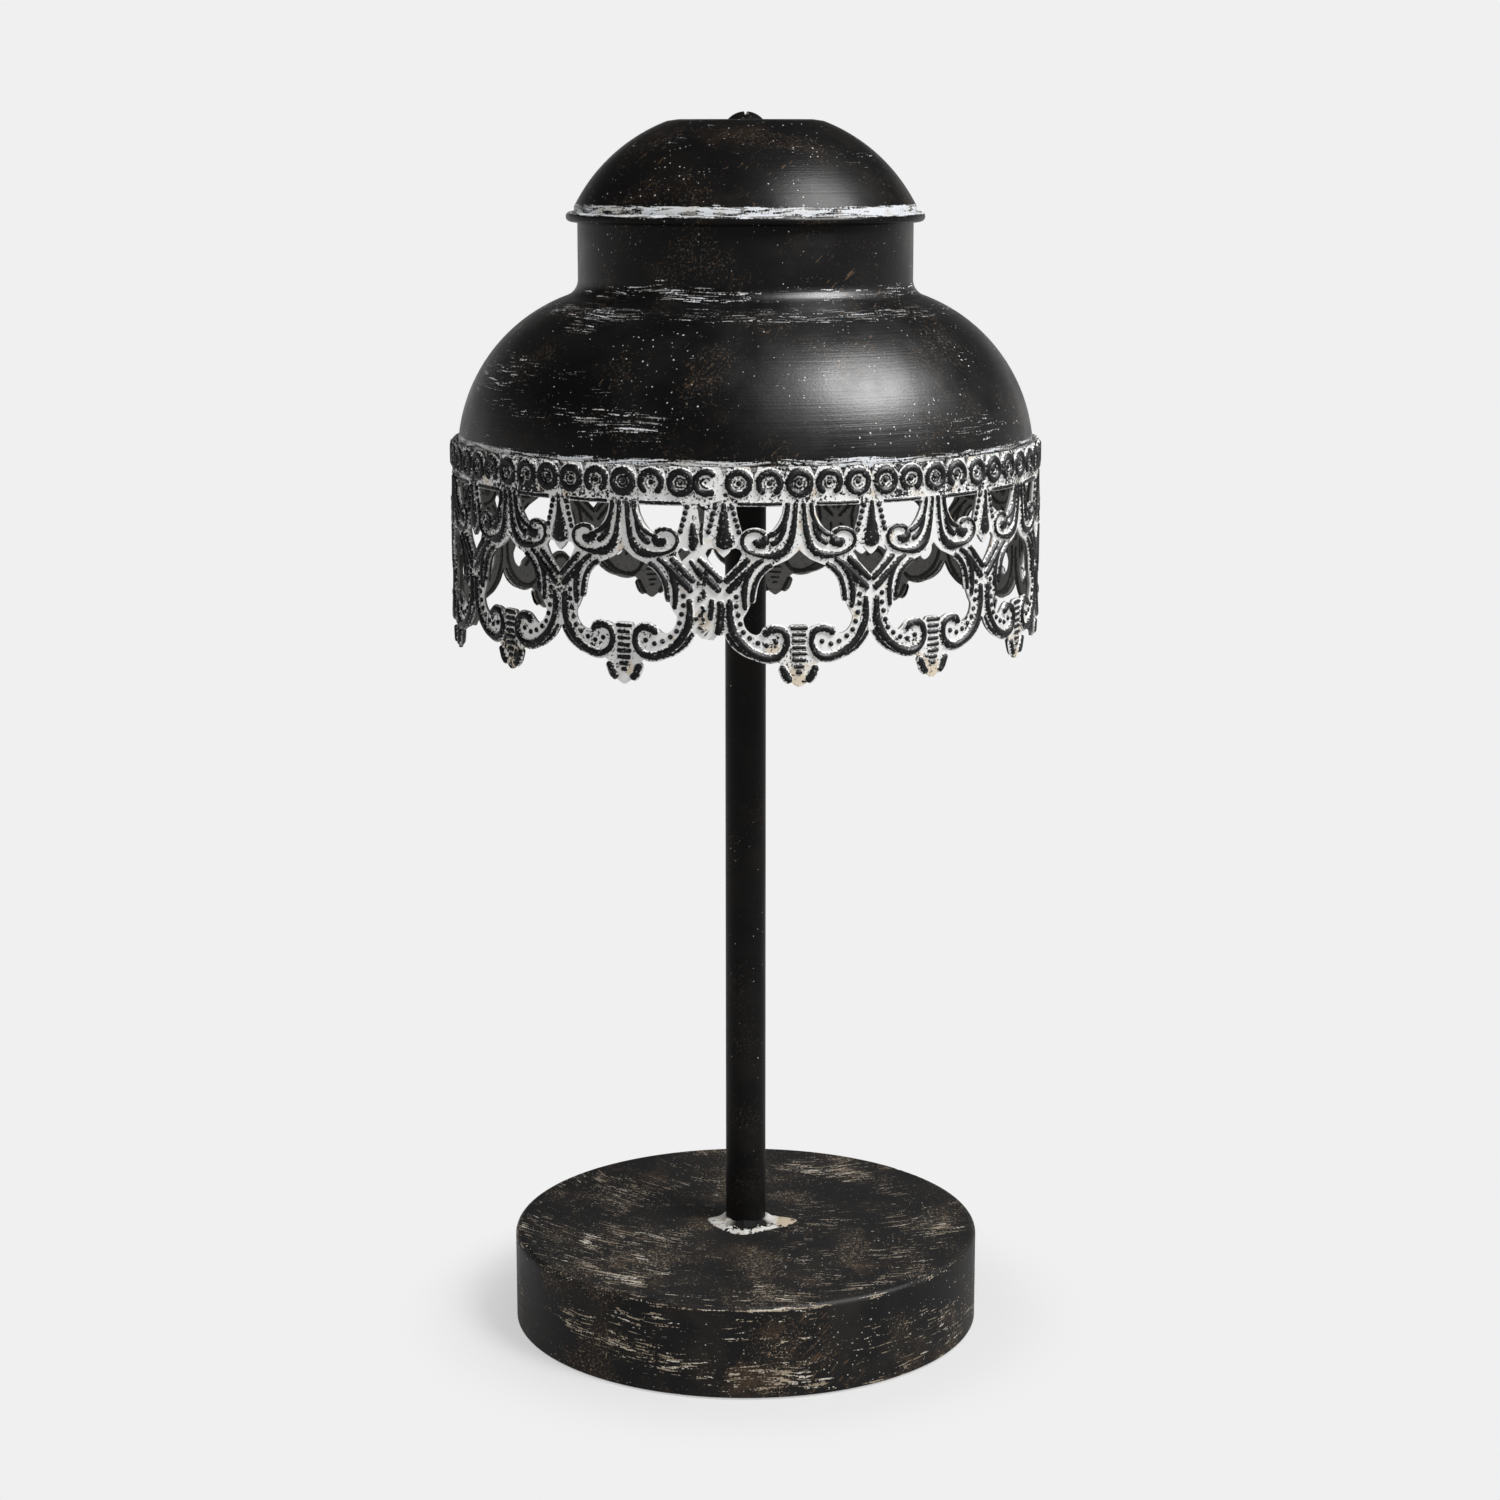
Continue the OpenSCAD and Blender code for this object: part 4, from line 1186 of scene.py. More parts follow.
    def raise_rib(self, shape: Mesh, rib: Rib, wall: LaceWall) -> None:
        """Extrude a rib's section along its line.

        Args:
            shape: The mesh that it is added to.
            rib: The rib.
            wall: The face that it stands on.
        """
        crest = self.crest_layer(shape)
        stations = rib.stations(wall.spacing)
        last = len(stations) - 1
        row: list[bmesh.types.BMVert] = []
        for index, (across, height, width, full) in enumerate(stations):
            before, after = stations[max(index - 1, 0)], stations[min(index + 1, last)]
            if rib.ring and index in (0, last):
                before, after = stations[last - 1], stations[1]
            ahead = Vector((after[0] - before[0], after[1] - before[1])).normalized()
            places = []
            for side, lift, _ in wall.section:
                reach = 0.5 * wall.bold * width * full * side
                rise = lift * rib.rise * wall.depth * (full if lift > 0 else 1.0)
                places.append(wall.point(across - ahead.y * reach, height + ahead.x * reach, rise))
            if not row:
                row = [shape.verts.new(place) for place in places]
                for pair in zip(row, row[1:]):
                    shape.edges.new(pair)
            else:
                edges = [shape.edges.get(pair) for pair in zip(row, row[1:])]
                made = set(bmesh.ops.extrude_edge_only(shape, edges=edges)["geom"])
                row = [self.grown_from(vert, made) for vert in row]
                for vert, place in zip(row, places):
                    vert.co = place
            for vert, (_, _, top) in zip(row, wall.section):
                vert[crest] = top * full * (1.0 - rib.pale)

    def set_bead(self, shape: Mesh, across: float, height: float, radius: float, wall: LaceWall) -> None:
        """Add a round bead, flattened and half sunk in the sheet.

        Args:
            shape: The mesh that it is added to.
            across: Its place across the motif in millimetres.
            height: Its height above the table.
            radius: Its radius.
            wall: The face that it stands on.
        """
        crest = self.crest_layer(shape)
        turn = Matrix.Rotation(across / self.DRAWN_R, 4, "Z") @ Matrix.Rotation(math.radians(90), 4, "X")
        squash = self.SQUASH * wall.depth
        flat = Matrix.Diagonal((1.0, 1.0, squash, 1.0))
        matrix = Matrix.Translation(wall.point(across, height, self.LIFT)) @ turn @ flat
        made = bmesh.ops.create_uvsphere(shape, radius=radius * MM, matrix=matrix, **self.FACETS)
        centre = wall.point(across, height, 0.0)
        for vert in made["verts"]:
            off = wall.way * (vert.co.xy.length - centre.xy.length) / (squash * radius * MM)
            vert[crest] = max(0.0, min(1.0, self.FOOT + off))

    def mirror(self, shape: Mesh) -> None:
        """Add the other half of the motif that faces the front.

        Args:
            shape: The half motif's mesh.
        """
        made = bmesh.ops.duplicate(shape, geom=self.everything(shape))["geom"]
        verts = [item for item in made if isinstance(item, bmesh.types.BMVert)]
        bmesh.ops.scale(shape, vec=(-1, 1, 1), verts=verts)

    def to_place(self, shape: Mesh) -> None:
        """Turn what was drawn facing the front to the first motif's place."""
        turn = Matrix.Rotation(math.radians(self.first), 3, "Z")
        bmesh.ops.rotate(shape, cent=(0, 0, 0), matrix=turn, verts=shape.verts)

    def repeat(self, shape: Mesh) -> None:
        """Turn the front motif to its place and copy it round the skirt.

        Args:
            shape: The motif's mesh.
        """
        bmesh.ops.remove_doubles(shape, verts=shape.verts, dist=1e-7)
        self.to_place(shape)
        copies = self.motifs - 1
        bmesh.ops.spin(shape, geom=self.everything(shape), cent=(0, 0, 0), axis=(0, 0, 1), dvec=(0, 0, 0),
                       angle=math.radians(self.pitch * copies), steps=copies, use_merge=False,
                       use_duplicate=True)

    def face_out(self, shape: Mesh, wall: LaceWall) -> None:
        """Turn every face to look away from the sheet that it stands on.

        Args:
            shape: The mesh.
            wall: The sheet's face.
        """
        shape.normal_update()
        wrong = []
        for facet in shape.faces:
            middle = facet.calc_center_median()
            if facet.normal.dot(Vector((middle.x, middle.y, 0.0))) * wall.way < 0.0:
                wrong.append(facet)
        bmesh.ops.reverse_faces(shape, faces=wrong)

    def motif_ribs(self, shape: Mesh, wall: LaceWall) -> None:
        """Make the lily, the frame, the scrolls and the tail of every motif.

        Args:
            shape: The empty mesh.
            wall: The face that they stand on.
        """
        for rib in self.paired:
            self.raise_rib(shape, rib, wall)
        self.mirror(shape)
        end_w, middle_w = self.ridge_w
        for height, width in self.ridges:
            line = ((-width / 2, height, end_w), (0.0, height, middle_w), (width / 2, height, end_w))
            self.raise_rib(shape, Rib(line, self.ridge_rise), wall)
        drop = tuple((across - self.half, height, width) for across, height, width in self.drop)
        self.raise_rib(shape, Rib(drop, self.drop_rise), wall)
        self.repeat(shape)

    def ring_row(self, shape: Mesh, wall: LaceWall) -> None:
        """Make the row of rings with bosses along the top.

        Args:
            shape: The empty mesh.
            wall: The face that they stand on.
        """
        step = 2 * self.half / self.rings
        ring_r, ring_w, ring_rise = self.ring
        boss_r, boss_w, boss_rise = self.boss
        for index in range(self.rings):
            middle = ((index - self.rings // 2) * step, self.ring_z)
            closed = index % 2 == 0
            ends = (0.0, 360.0) if closed else self.open_ring
            ring = Rib(ring_line(middle, ring_r, ring_w, *ends), ring_rise, ring=closed)
            boss = Rib(ring_line(middle, boss_r, boss_w), boss_rise, self.boss_pale, True)
            self.raise_rib(shape, ring, wall)
            self.raise_rib(shape, boss, wall)
            self.set_bead(shape, *middle, self.boss_bead, wall)
        self.repeat(shape)

    def bead_rows(self, shape: Mesh, wall: LaceWall) -> None:
        """Make the beads along the scrolls and the pins beside the drops.

        Args:
            shape: The empty mesh.
            wall: The face that they stand on.
        """
        for places, radius in ((self.beads, self.bead_r), (self.pins, self.pin_r)):
            for across, height in places:
                self.set_bead(shape, across, height, radius, wall)
        self.mirror(shape)
        self.repeat(shape)

    def lapped_motif(self, shape: Mesh, wall: LaceWall) -> None:
        """Make what shows of the motif that is lapped over the joint, with the solder that holds it.

        Args:
            shape: The empty mesh.
            wall: The face that it stands on.
        """
        for rib in self.lap:
            self.raise_rib(shape, rib, wall)
        for across, height in self.pins:
            self.set_bead(shape, across - 2 * self.half, height, self.pin_r, wall)
        noise.seed_set(self.SEED)
        for index in range(self.solder):
            way = noise.noise_vector(Vector((index * 3.7, 1.3, 0.5)))
            bend = noise.noise_vector(Vector((1.9, index * 2.3, 4.1)))
            across = self.solder_top[0] + self.solder_stray[0] * way.x
            height = self.solder_top[1] - self.solder_step * index + self.solder_stray[1] * way.y
            smear = ((across - 1.6 * bend.x, height - 1.2 * bend.y, 1.0), (across, height, 1.7 + 0.8 * way.z),
                     (across + 1.3 * bend.y, height + 1.5 * bend.z, 1.1))
            self.raise_rib(shape, Rib(smear, 0.9 + 0.3 * bend.x), wall)
        self.to_place(shape)

    def build(self, wash: Material, enamel: Material, shadow: Material) -> None:
        """Make the relief and dress the sheet.

        Args:
            wash: The sheet's finish.
            enamel: The finish of the relief outside.
            shadow: The finish of the relief inside, whose dark crests are partly enamel and partly painted
                shade.
        """
        maker = PieceMaker(Body.LANTERN, Slot.LACE)
        dress("lace_band", wash)
        for name, make, wall, finish in (
            ("lace_ribs", self.motif_ribs, OUTER_WALL, enamel),
            ("lace_rings", self.ring_row, OUTER_WALL, enamel),
            ("lace_beads", self.bead_rows, OUTER_WALL, enamel),
            ("lace_joint", self.lapped_motif, OUTER_WALL, enamel),
            ("lace_ribs_inside", self.motif_ribs, INNER_WALL, shadow),
        ):
            shape = bmesh.new()
            make(shape, wall)
            self.face_out(shape, wall)
            maker.place(name, shape, finish)


@dataclass
class Stand:
    """The disc base, the stem and the filler smeared round its foot.

    Attributes:
        stem_r: Radius of the stem in millimetres.
        top: Height of the base's top face.
        smear: Points (radius, height) of the filler's section.
        edge: How far from the axis the filler reaches, as points (angle, radius) in rising order.
        sunk: How deep its foot lies in the base.
        ragged: How uneven its edge is, against the section's width, and how closely that changes.
        brim: How uneven its top is at the stem, in millimetres, and the waves per metre.
        lumps: Strength and waves per metre of its coarse and fine lumps.
        steps: Steps round the stem.
    """

    stem_r: float = 6.0
    top: float = 28.0
    smear: tuple[Point, ...] = ((6.0, 2.6), (6.4, 2.0), (7.0, 1.35), (7.8, 0.9), (8.7, 0.65), (9.5, 0.4),
                                (10.0, -0.2))
    edge: tuple[Point, ...] = ((-180, 7.4), (-130, 7.4), (-112, 8.2), (-100, 12.4), (-86, 11.2), (-57, 10.2),
                               (-25, 11.1), (0, 11.9), (22, 10.4), (46, 10.2), (62, 11.5), (73, 13.7),
                               (85, 15.4), (95, 16.0), (104, 12.4), (114, 8.8), (130, 7.4), (180, 7.4))
    sunk: float = 0.4
    ragged: Point = (0.16, 7.0)
    brim: Point = (0.8, 420.0)
    lumps: tuple[Point, ...] = ((0.7, 300.0), (0.5, 800.0))
    steps: int = 144

    def reach(self, turn: float) -> float:
        """Tell how far the filler is drawn out at an angle.

        Args:
            turn: The angle in degrees.

        Returns:
            A factor for the section's width.
        """
        for (low, near), (high, far) in zip(self.edge, self.edge[1:]):
            if turn <= high:
                break
        radius = near + (far - near) * (turn - low) / (high - low)
        return (radius - self.stem_r) / (self.smear[-1][0] - self.stem_r)

    def filler(self) -> Mesh:
        """Make the lumpy filler, which reaches furthest to the right.

        Returns:
            The mesh.
        """
        foot = self.top - self.sunk
        outline = [(radius, self.top + rise) for radius, rise in self.smear]
        shape = spun(outline + [(self.smear[-1][0], foot), (self.stem_r - 0.1, foot)], self.steps)
        inner, top = self.stem_r * MM, self.top * MM
        for vert in shape.verts:
            above = vert.co.z > top
            out = vert.co.xy.length - inner
            if out < 0.1 * MM:
                vert.co.z += self.brim[0] * MM * noise.noise(vert.co * self.brim[1]) if above else 0.0
                continue
            turn = math.atan2(vert.co.x, -vert.co.y)
            uneven = noise.noise(Vector((math.cos(turn), math.sin(turn), 0.3)) * self.ragged[1])
            reach = self.reach(math.degrees(turn)) + self.ragged[0] * uneven
            vert.co.xy *= (inner + out * reach) / vert.co.xy.length
            if above:
                lump = 1.0 + sum(strength * noise.noise(vert.co * waves) for strength, waves in self.lumps)
                vert.co.z = top + (vert.co.z - top) * max(0.15, lump)
        bmesh.ops.smooth_vert(shape, verts=shape.verts, factor=0.3, use_axis_x=True, use_axis_y=True,
                              use_axis_z=True)
        return shape

    def build(self, base: Material, stem: Material, filler: Material) -> None:
        """Make the filler and dress the base and the stem.

        Args:
            base: The base's finish.
            stem: The stem's finish.
            filler: The filler's finish.
        """
        dress("base_shell", base)
        dress("stem", stem)
        PieceMaker(Body.LANTERN, Slot.FILLER).place("stem_filler", self.filler(), filler, ["weld_bead"])


@dataclass
class PlateScrews:
    """The screws that hold the base plate, with a cross recess in each head.

    Attributes:
        turns: Their places round the axis, in degrees from the right and anticlockwise from above.
        circle_r: Radius in millimetres of the circle that they stand on.
        rings: Points (radius, height) from the head's crown to the shank's tip.
        arm: Half the width and the reach of the recess's arms.
        depth: The recess's depth.
        facets: Facets round a screw.
        taper: Size of the recess's floor against its lip.
        crease: The angle in degrees over which an edge is sharp.
    """

    turns: tuple[float, ...] = (70.0, 180.0, 290.0)
    circle_r: float = 50.0
    rings: tuple[Point, ...] = (
        (1.9, 0.62), (2.45, 0.8), (2.75, 1.25), (2.75, 2.0), (1.5, 2.05), (1.5, 11.9),
    )
    arm: Point = (0.36, 1.3)
    depth: float = 0.9
    facets: int = 28
    taper: float = 0.75
    crease: float = 35.0

    @staticmethod
    def next_ring(shape: Mesh, edges: Sequence[bmesh.types.BMEdge], scale: float, rise: float
                  ) -> list[bmesh.types.BMEdge]:
        """Extrude a loop of edges round the screw's axis.

        Args:
            shape: The mesh.
            edges: The loop.
            scale: The new loop's size against the old one's.
            rise: How far it lies above the old one, in millimetres.

        Returns:
            The new loop.
        """
        made = bmesh.ops.extrude_edge_only(shape, edges=edges)["geom"]
        verts = [item for item in made if isinstance(item, bmesh.types.BMVert)]
        bmesh.ops.scale(shape, vec=(scale, scale, 1.0), verts=verts)
        bmesh.ops.translate(shape, vec=(0.0, 0.0, rise * MM), verts=verts)
        loops = (item for item in made if isinstance(item, bmesh.types.BMEdge))
        return [edge for edge in loops if all(vert in verts for vert in edge.verts)]

    def raise_screw(self, shape: Mesh, turn: float) -> None:
        """Add one screw.

        Args:
            shape: The mesh that it is added to.
            turn: Its place round the axis in degrees.
        """
        known = set(shape.verts)
        half, reach = self.arm
        corners = [Vector((half, half)), Vector((half, reach)), Vector((-half, reach))]
        quarters = [Matrix.Rotation(math.radians(90.0 * quarter), 2) for quarter in range(4)]
        crown_r, crown = self.rings[0]
        outline = [quarter @ corner for quarter in quarters for corner in corners]
        cross = [shape.verts.new((*(MM * point), crown * MM)) for point in outline]
        lip = [shape.edges.new(pair) for pair in zip(cross, cross[1:] + cross[:1])]
        made = bmesh.ops.create_circle(shape, radius=crown_r * MM, segments=self.facets,
                                       matrix=Matrix.Translation((0.0, 0.0, crown * MM)))
        rim = [edge for edge in shape.edges if all(vert in made["verts"] for vert in edge.verts)]
        bmesh.ops.triangle_fill(shape, edges=lip + rim, use_beauty=True)
        floor = self.next_ring(shape, lip, self.taper, self.depth)
        bmesh.ops.triangle_fill(shape, edges=floor, use_beauty=True)
        for (near_r, near), (far_r, far) in zip(self.rings, self.rings[1:]):
            rim = self.next_ring(shape, rim, far_r / near_r, far - near)
        bmesh.ops.triangle_fill(shape, edges=rim, use_beauty=True)
        fresh = [vert for vert in shape.verts if vert not in known]
        bmesh.ops.translate(shape, vec=(self.circle_r * MM, 0.0, 0.0), verts=fresh)
        round_axis = Matrix.Rotation(math.radians(turn), 3, "Z")
        bmesh.ops.rotate(shape, cent=(0, 0, 0), matrix=round_axis, verts=fresh)

    def build(self, steel: Material) -> None:
        """Make the screws.

        Args:
            steel: Their finish.
        """
        shape = bmesh.new()
        for turn in self.turns:
            self.raise_screw(shape, turn)
        bmesh.ops.recalc_face_normals(shape, faces=shape.faces)
        maker = PieceMaker(Body.LANTERN, Slot.STEEL)
        piece = maker.place("plate_screws_crossed", shape, steel, ["plate_screws"])
        piece.data.set_sharp_from_angle(angle=math.radians(self.crease))


@dataclass
class Studio:
    """A pale floor, two soft lights on the right and the camera.

    Attributes:
        pale: The background's level, where 1 is white.
        ambient: The world's level on the lantern.
        front: How much brighter the world is in front than at the sides.
        ceiling: The dim ceiling's level, which the gloss of faces that look up shows.
        horizon: Where the background gives way to the ceiling, as shares of straight up.
        eye: The camera's place in metres.
        pitch: How far the camera looks down, in degrees.
        lens: Its focal length in millimetres.
        sensor: Its sensor's width.
        lamp_rise: The lamps' height in degrees over the horizon.
        lamp_far: Their distance in metres.
        aim: Height in metres of the point that they face.
        key: Degrees to the right of the front, width in metres and watts of the key light.
        sheen: The same for the lamp beside it that only gloss shows.
        floor_r: The floor's radius in metres.
        floor_sides: Its sides.
        shade: How far from the axis the floor's shading fades out, in metres.
        shaded: How much of it shows inside that.
    """

    pale: float = 0.871
    ambient: float = 0.44
    front: float = 0.12
    ceiling: float = 0.07
    horizon: Point = (0.02, 0.32)
    eye: Station = (0.0013, -0.8956, 0.3562)
    pitch: float = 11.44
    lens: float = 74.06
    sensor: float = 36.0
    lamp_rise: float = 46.0
    lamp_far: float = 1.25
    aim: float = 0.28
    key: Station = (48.0, 0.54, 12.5)
    sheen: Station = (65.0, 0.75, 125.0)
    floor_r: float = 8.0
    floor_sides: int = 96
    shade: Point = (0.07, 0.11)
    shaded: float = 0.45

    def camera(self) -> None:
        """Set the camera where the photograph was taken."""
        data = bpy.data.cameras.new("camera")
        data.lens = self.lens
        data.sensor_width = self.sensor
        camera = bpy.data.objects.new("camera", data)
        camera.location = self.eye
        camera.rotation_euler = (math.radians(90.0 - self.pitch), 0.0, 0.0)
        bpy.context.scene.collection.objects.link(camera)
        bpy.context.scene.camera = camera

    def world(self) -> None:
        """Light the lantern evenly from all round, before a pale background under a dim ceiling."""
        world = bpy.data.worlds.new("studio")
        bpy.context.scene.world = world
        world.use_nodes = True
        nodes = NodeSet(world.node_tree)
        path = nodes.add("ShaderNodeLightPath", {}).outputs
        way = nodes.add("ShaderNodeTexCoord", {}).outputs["Generated"]
        part = nodes.add("ShaderNodeSeparateXYZ", {0: way}).outputs
        sky = nodes.fade(part["Z"], *self.horizon, self.pale, self.ceiling)
        bright, dim = self.ambient + self.front, self.ambient - self.front
        level = nodes.fade(part["Y"], -1.0, 1.0, bright, dim, Curve.EVEN)
        for ray, seen in (("Is Glossy Ray", sky), ("Is Transmission Ray", sky), ("Is Camera Ray", self.pale)):
            level = nodes.fade(path[ray], 0.0, 1.0, level, seen, Curve.EVEN)
        background = world.node_tree.nodes["Background"]
        nodes.give(background.inputs["Strength"], level)
        nodes.give(background.inputs["Color"], (1.0, 1.0, 1.0))

    def floor(self) -> None:
        """Lay a pale floor that keeps the lantern's shadow and runs into the background."""
        shape = bmesh.new()
        bmesh.ops.create_circle(shape, cap_ends=True, radius=self.floor_r, segments=self.floor_sides)
        floor = as_object("floor", shape)
        floor.visible_diffuse = False
        floor.visible_shadow = False
        floor.data.materials.append(self.floor_paint())

    def floor_paint(self) -> Material:
        """Make the floor's finish: shaded near the lantern, plain further off, and open from below.

        Returns:
            The material.
        """
        nodes = FinishNodes("floor_paint")
        glow = nodes.add("ShaderNodeEmission", {"Color": (self.pale,) * 3})
        key = self.key[2] / (math.pi * self.lamp_far) ** 2 * math.sin(math.radians(self.lamp_rise))
        grey = self.pale / (self.ambient + key)
        shade = nodes.add("ShaderNodeBsdfDiffuse", {"Color": (grey,) * 3})
        near = nodes.fade(nodes.length(nodes.object_place()), *self.shade, self.shaded, 0.0)
        lit = nodes.add("ShaderNodeMixShader", {0: near, 1: glow.outputs[0], 2: shade.outputs[0]})
        below = nodes.add("ShaderNodeNewGeometry", {}).outputs["Backfacing"]
        clear = nodes.add("ShaderNodeBsdfTransparent", {})
        whole = nodes.add("ShaderNodeMixShader", {0: below, 1: lit.outputs[0], 2: clear.outputs[0]})
        return nodes.show(whole.outputs[0])

    def lamp(self, name: str, angle: float, width: float, power: float) -> bpy.types.Object:
        """Hang a round soft light that faces the shade.

        Args:
            name: Its name.
            angle: Its direction in degrees to the right of the front.
            width: Its width in metres.
            power: Its power in watts.

        Returns:
            The lamp.
        """
        data = bpy.data.lights.new(name, "AREA")
        data.shape = "DISK"
        data.size = width
        data.energy = power
        lamp = bpy.data.objects.new(name, data)
        turn, up = math.radians(angle), math.radians(self.lamp_rise)
        way = Vector((math.cos(up) * math.sin(turn), -math.cos(up) * math.cos(turn), math.sin(up)))
        lamp.location = Vector((0.0, 0.0, self.aim)) + self.lamp_far * way
        lamp.rotation_euler = way.to_track_quat("Z", "Y").to_euler()
        bpy.context.scene.collection.objects.link(lamp)
        return lamp

    def build(self) -> None:
        """Set up the camera, the lights, the floor and the view."""
        bpy.context.scene.view_settings.view_transform = "Standard"
        self.camera()
        self.world()
        self.floor()
        self.lamp("key", *self.key)
        self.lamp("sheen", *self.sheen).visible_diffuse = False


# The cap's dark and warm are lighter than the bell's, though both pieces wear the same enamel: painted sheen
# that stands in for the gloss taken off the dome.
CAP_ENAMEL_WITH_PAINTED_SHEEN = TurnedEnamel(
    name="cap_enamel_with_painted_sheen", dark=(0.0056, 0.0056, 0.006), warm=(0.0086, 0.0075, 0.0066), chalk=(0.7, 0.72, 0.75),
    cream=(0.6, 0.59, 0.56), rust=(0.14, 0.088, 0.05), cover=0.15, clump=0.08, clump_size=30.0,
    stroke=(6.0, 0.75), wander=3.0, hair=0.4, hair_cover=0.02, specks=0.75, scratches=0.18, stains=0.08,
    dust=0.35, chips=0.12, spun=0.4, gloss=0.042, satin=0.34,
    wear=(
        WearBand(331.9, 334.2, 0.7, 0.31),
        *patches(
            Measure.HEIGHT, (-20.0, 334.6, 34.0, 1.9, 0.1), (55.0, 333.2, 28.0, 1.7, 0.12),
            (-36.0, 352.0, 14.0, 2.0, 0.15), (-24.0, 356.3, 8.0, 1.0, 0.17), (62.0, 345.0, 24.0, 7.0, 0.07),
        ),
    ),
)
BELL_ENAMEL = replace(
    CAP_ENAMEL_WITH_PAINTED_SHEEN, name="bell_enamel", dark=(0.0031, 0.0032, 0.0035), warm=(0.0058, 0.0055, 0.0054),
    stroke=(9.0, 0.64), hair=0.5, hair_cover=0.03, stains=0.05, gloss=0.092, satin=0.37,
    wear=(
        WearBand(309.8, 312.2, 1.6, 0.15),
        WearBand(304.8, 306.4, 2.0, 0.13),
        *patches(Measure.HEIGHT, (-55.0, 307.0, 30.0, 4.0, 0.06), (30.0, 305.5, 42.0, 3.5, 0.06)),
        WearBand(265.5, 268.8, 1.8, 0.28),
        *patches(
            Measure.HEIGHT, (-25.0, 277.5, 15.0, 6.0, 0.13), (-50.0, 280.0, 20.0, 4.0, 0.125),
            (-64.0, 288.0, 22.0, 9.0, 0.11), (-46.0, 302.0, 9.0, 2.2, 0.14), (62.0, 275.0, 26.0, 8.0, 0.085),
            (150.0, 284.0, 40.0, 10.0, 0.1), (-150.0, 276.0, 30.0, 6.0, 0.1),
        ),
    ),
)
BASE_ENAMEL = TurnedEnamel(
    name="base_enamel", dark=(0.0118, 0.0117, 0.0122), warm=(0.0235, 0.0214, 0.019), chalk=(0.68, 0.64, 0.56),
    cream=(0.46, 0.38, 0.28), rust=(0.12, 0.076, 0.046), cover=0.19, clump=0.12, clump_size=22.0,
    stroke=(7.0, 0.8), sweep=(20.0, 85.0, 27.8), grit=0.05, wander=3.5, hair=0.75, hair_cover=0.055,
    specks=0.9, scratches=0.2, stains=0.4, dust=0.7, chips=0.6, spun=0.05, gloss=0.06, satin=0.52,
    wear=(
        WearBand(26.8, 27.3, 0.2, 0.09),
        # Painted light: a thin even coat of chalk over the whole flat top makes the top lighter, as light
        # falling from above does.
        WearBand(27.9, 30.0, 0.1, 0.015),
        *patches(
            Measure.OUTLINE, (-72.0, 32.0, 50.0, 16.0, 0.06), (-24.0, 59.0, 18.0, 5.0, 0.1),
            # The first patch below, along the front edge of the top, is partly wear and partly a painted
            # highlight where the rounded edge catches the light.
            (2.0, 43.2, 26.0, 0.7, 0.11), (-38.0, 54.0, 22.0, 6.0, 0.115), (-26.0, 48.0, 12.0, 3.0, 0.12),
            (-8.0, 61.0, 30.0, 6.0, 0.07), (12.0, 66.0, 12.0, 4.0, 0.11), (42.0, 56.0, 24.0, 9.0, 0.08),
            (-42.0, 32.0, 22.0, 4.0, 0.11), (6.0, 36.0, 34.0, 4.0, 0.1), (42.0, 35.0, 24.0, 6.0, 0.1),
            (74.0, 30.0, 18.0, 8.0, 0.08), (38.0, 8.0, 28.0, 4.0, 0.09), (-40.0, 2.0, 40.0, 8.0, 0.06),
            (-125.0, 14.0, 40.0, 10.0, 0.09), (150.0, 24.0, 34.0, 8.0, 0.08), (120.0, 58.0, 30.0, 8.0, 0.1),
            (-140.0, 54.0, 40.0, 7.0, 0.1),
        ),
    ),
)
STEM_ENAMEL = TurnedEnamel(
    name="stem_enamel", dark=(0.003, 0.003, 0.003), warm=(0.0095, 0.008, 0.007), chalk=(0.5, 0.47, 0.43),
    cream=(0.35, 0.29, 0.22), rust=(0.05, 0.034, 0.024), cover=0.12, clump=0.08, clump_size=30.0,
    stroke=(3.0, 0.5), wander=0.0, hair=0.3, hair_cover=0.04, specks=0.25, scratches=0.1, stains=0.2,
    dust=0.45, chips=0.15, spun=0.03, gloss=0.075, satin=0.45,
)
LACE_RIB = RibEnamel("lace_rib_enamel", (0.006, 0.006, 0.0065), (0.86, 0.86, 0.84), 0.3, 0.35)
# The inside relief's dark crests draw the dark lines of the grooves on the back of the stamped sheet: partly
# the enamel left in them and partly painted shade.
LACE_SHADOW = RibEnamel("lace_inside_enamel_and_painted_shade", (0.03, 0.029, 0.027), (0.19, 0.185, 0.176), 0.32, 0.2)
SCREW_STEEL = MottledFinish("screw_steel", (0.4, 0.4, 0.39), (0.22, 0.21, 0.2), 1.2, 0.2, 0.4, 1.0)
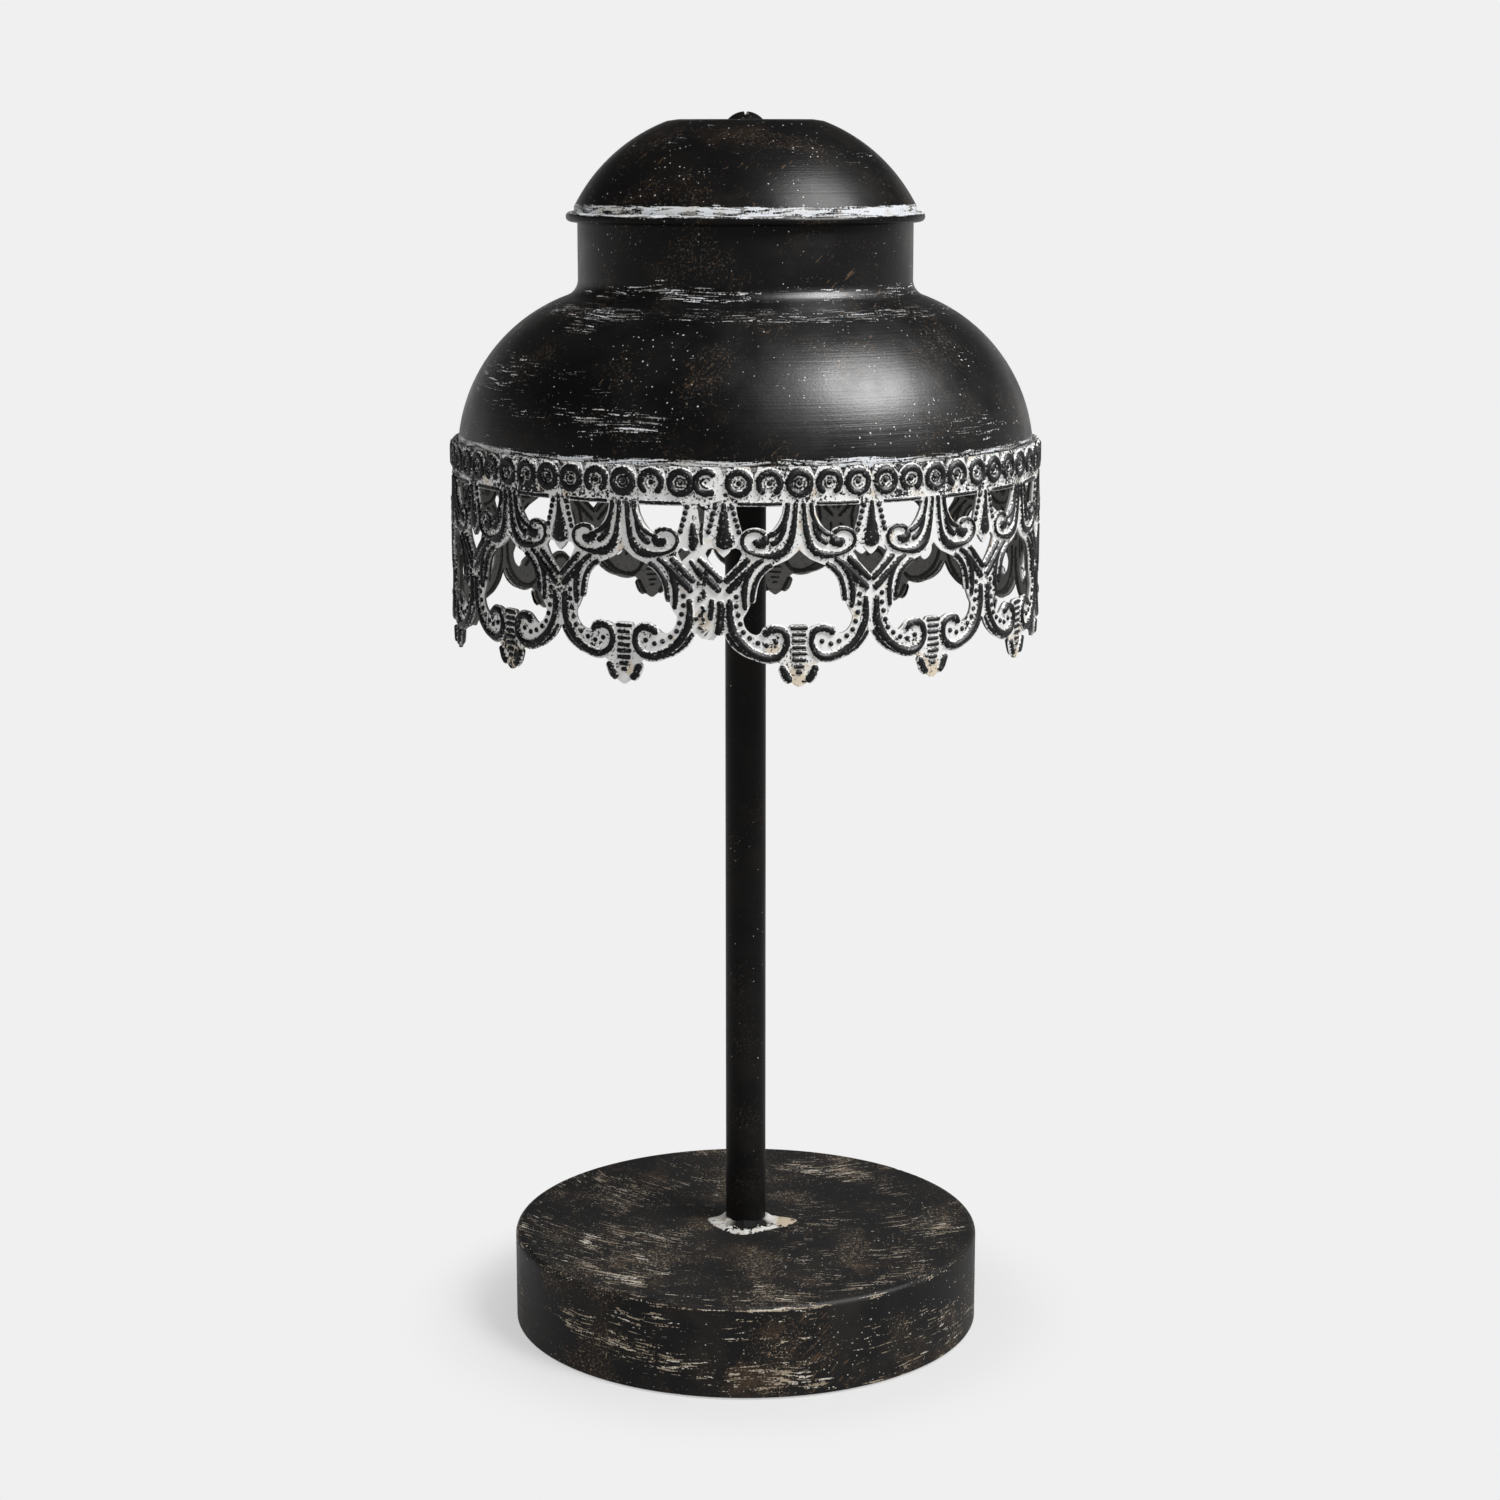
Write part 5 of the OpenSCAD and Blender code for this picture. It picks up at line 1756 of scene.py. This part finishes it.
SMALL_PIECES = (
    (MottledFinish("bright_steel", (0.62, 0.62, 0.61), (0.42, 0.41, 0.4), 6.0, 0.25, 0.34, 1.0),
     ("base_posts", "contact_springs", "contact_plates", "board_screws", "stem_plug", "seat_washer",
      "holder_screw", "switch_body")),
    (MottledFinish("black_moulding", (0.018, 0.018, 0.019), (0.03, 0.03, 0.031), 12.0, 0.35, 0.5),
     ("base_plate", "battery_door", "battery_tray")),
    (MottledFinish("white_moulding", (0.74, 0.74, 0.72), (0.66, 0.66, 0.63), 14.0, 0.4, 0.45),
     ("switch_slider", "led_holder")),
    (MottledFinish("milky_diffuser", (0.86, 0.85, 0.81), (0.8, 0.79, 0.74), 16.0, 0.5, 0.4, glow=0.25),
     ("led_diffuser",)),
    (MottledFinish("board_lacquer", (0.02, 0.13, 0.06), (0.015, 0.09, 0.045), 3.0, 0.3, 0.35),
     ("control_board",)),
    (MottledFinish("light_board_lacquer", (0.8, 0.8, 0.78), (0.7, 0.7, 0.68), 3.0, 0.3, 0.35),
     ("led_board",)),
    (MottledFinish("diode_phosphor", (0.8, 0.62, 0.12), (0.7, 0.5, 0.08), 1.5, 0.2, 0.4), ("led_chips",)),
    (CellWrap("battery_wrap_back", 1), ("battery_left", "battery_right")),
    (CellWrap("battery_wrap_front", -1), ("battery_middle",)),
    (MottledFinish("foot_foam", (0.035, 0.035, 0.036), (0.02, 0.02, 0.021), 2.0, 0.5, 0.9, bump=0.6),
     ("foot_ring",)),
    (MottledFinish("red_lead", (0.35, 0.03, 0.025), (0.25, 0.02, 0.018), 4.0, 0.4, 0.42), ("battery_wires",)),
    (MottledFinish("pale_lead", (0.5, 0.48, 0.42), (0.42, 0.4, 0.35), 4.0, 0.4, 0.42), ("lamp_wires",)),
)


def main() -> None:
    """Build the studio and the lantern's pieces."""
    logging.basicConfig(level=logging.INFO, format="%(name)s: %(message)s")
    Studio().build()
    Shade().build(CAP_ENAMEL_WITH_PAINTED_SHEEN.build(), BELL_ENAMEL.build())
    LaceSkirt().build(LaceWash().build(), LACE_RIB.build(), LACE_SHADOW.build())
    Stand().build(BASE_ENAMEL.build(), STEM_ENAMEL.build(), LumpyFiller().build())
    PlateScrews().build(SCREW_STEEL.build())
    for finish, nodes in SMALL_PIECES:
        material = finish.build()
        for node in nodes:
            dress(node, material)


if __name__ == "__main__":
    main()
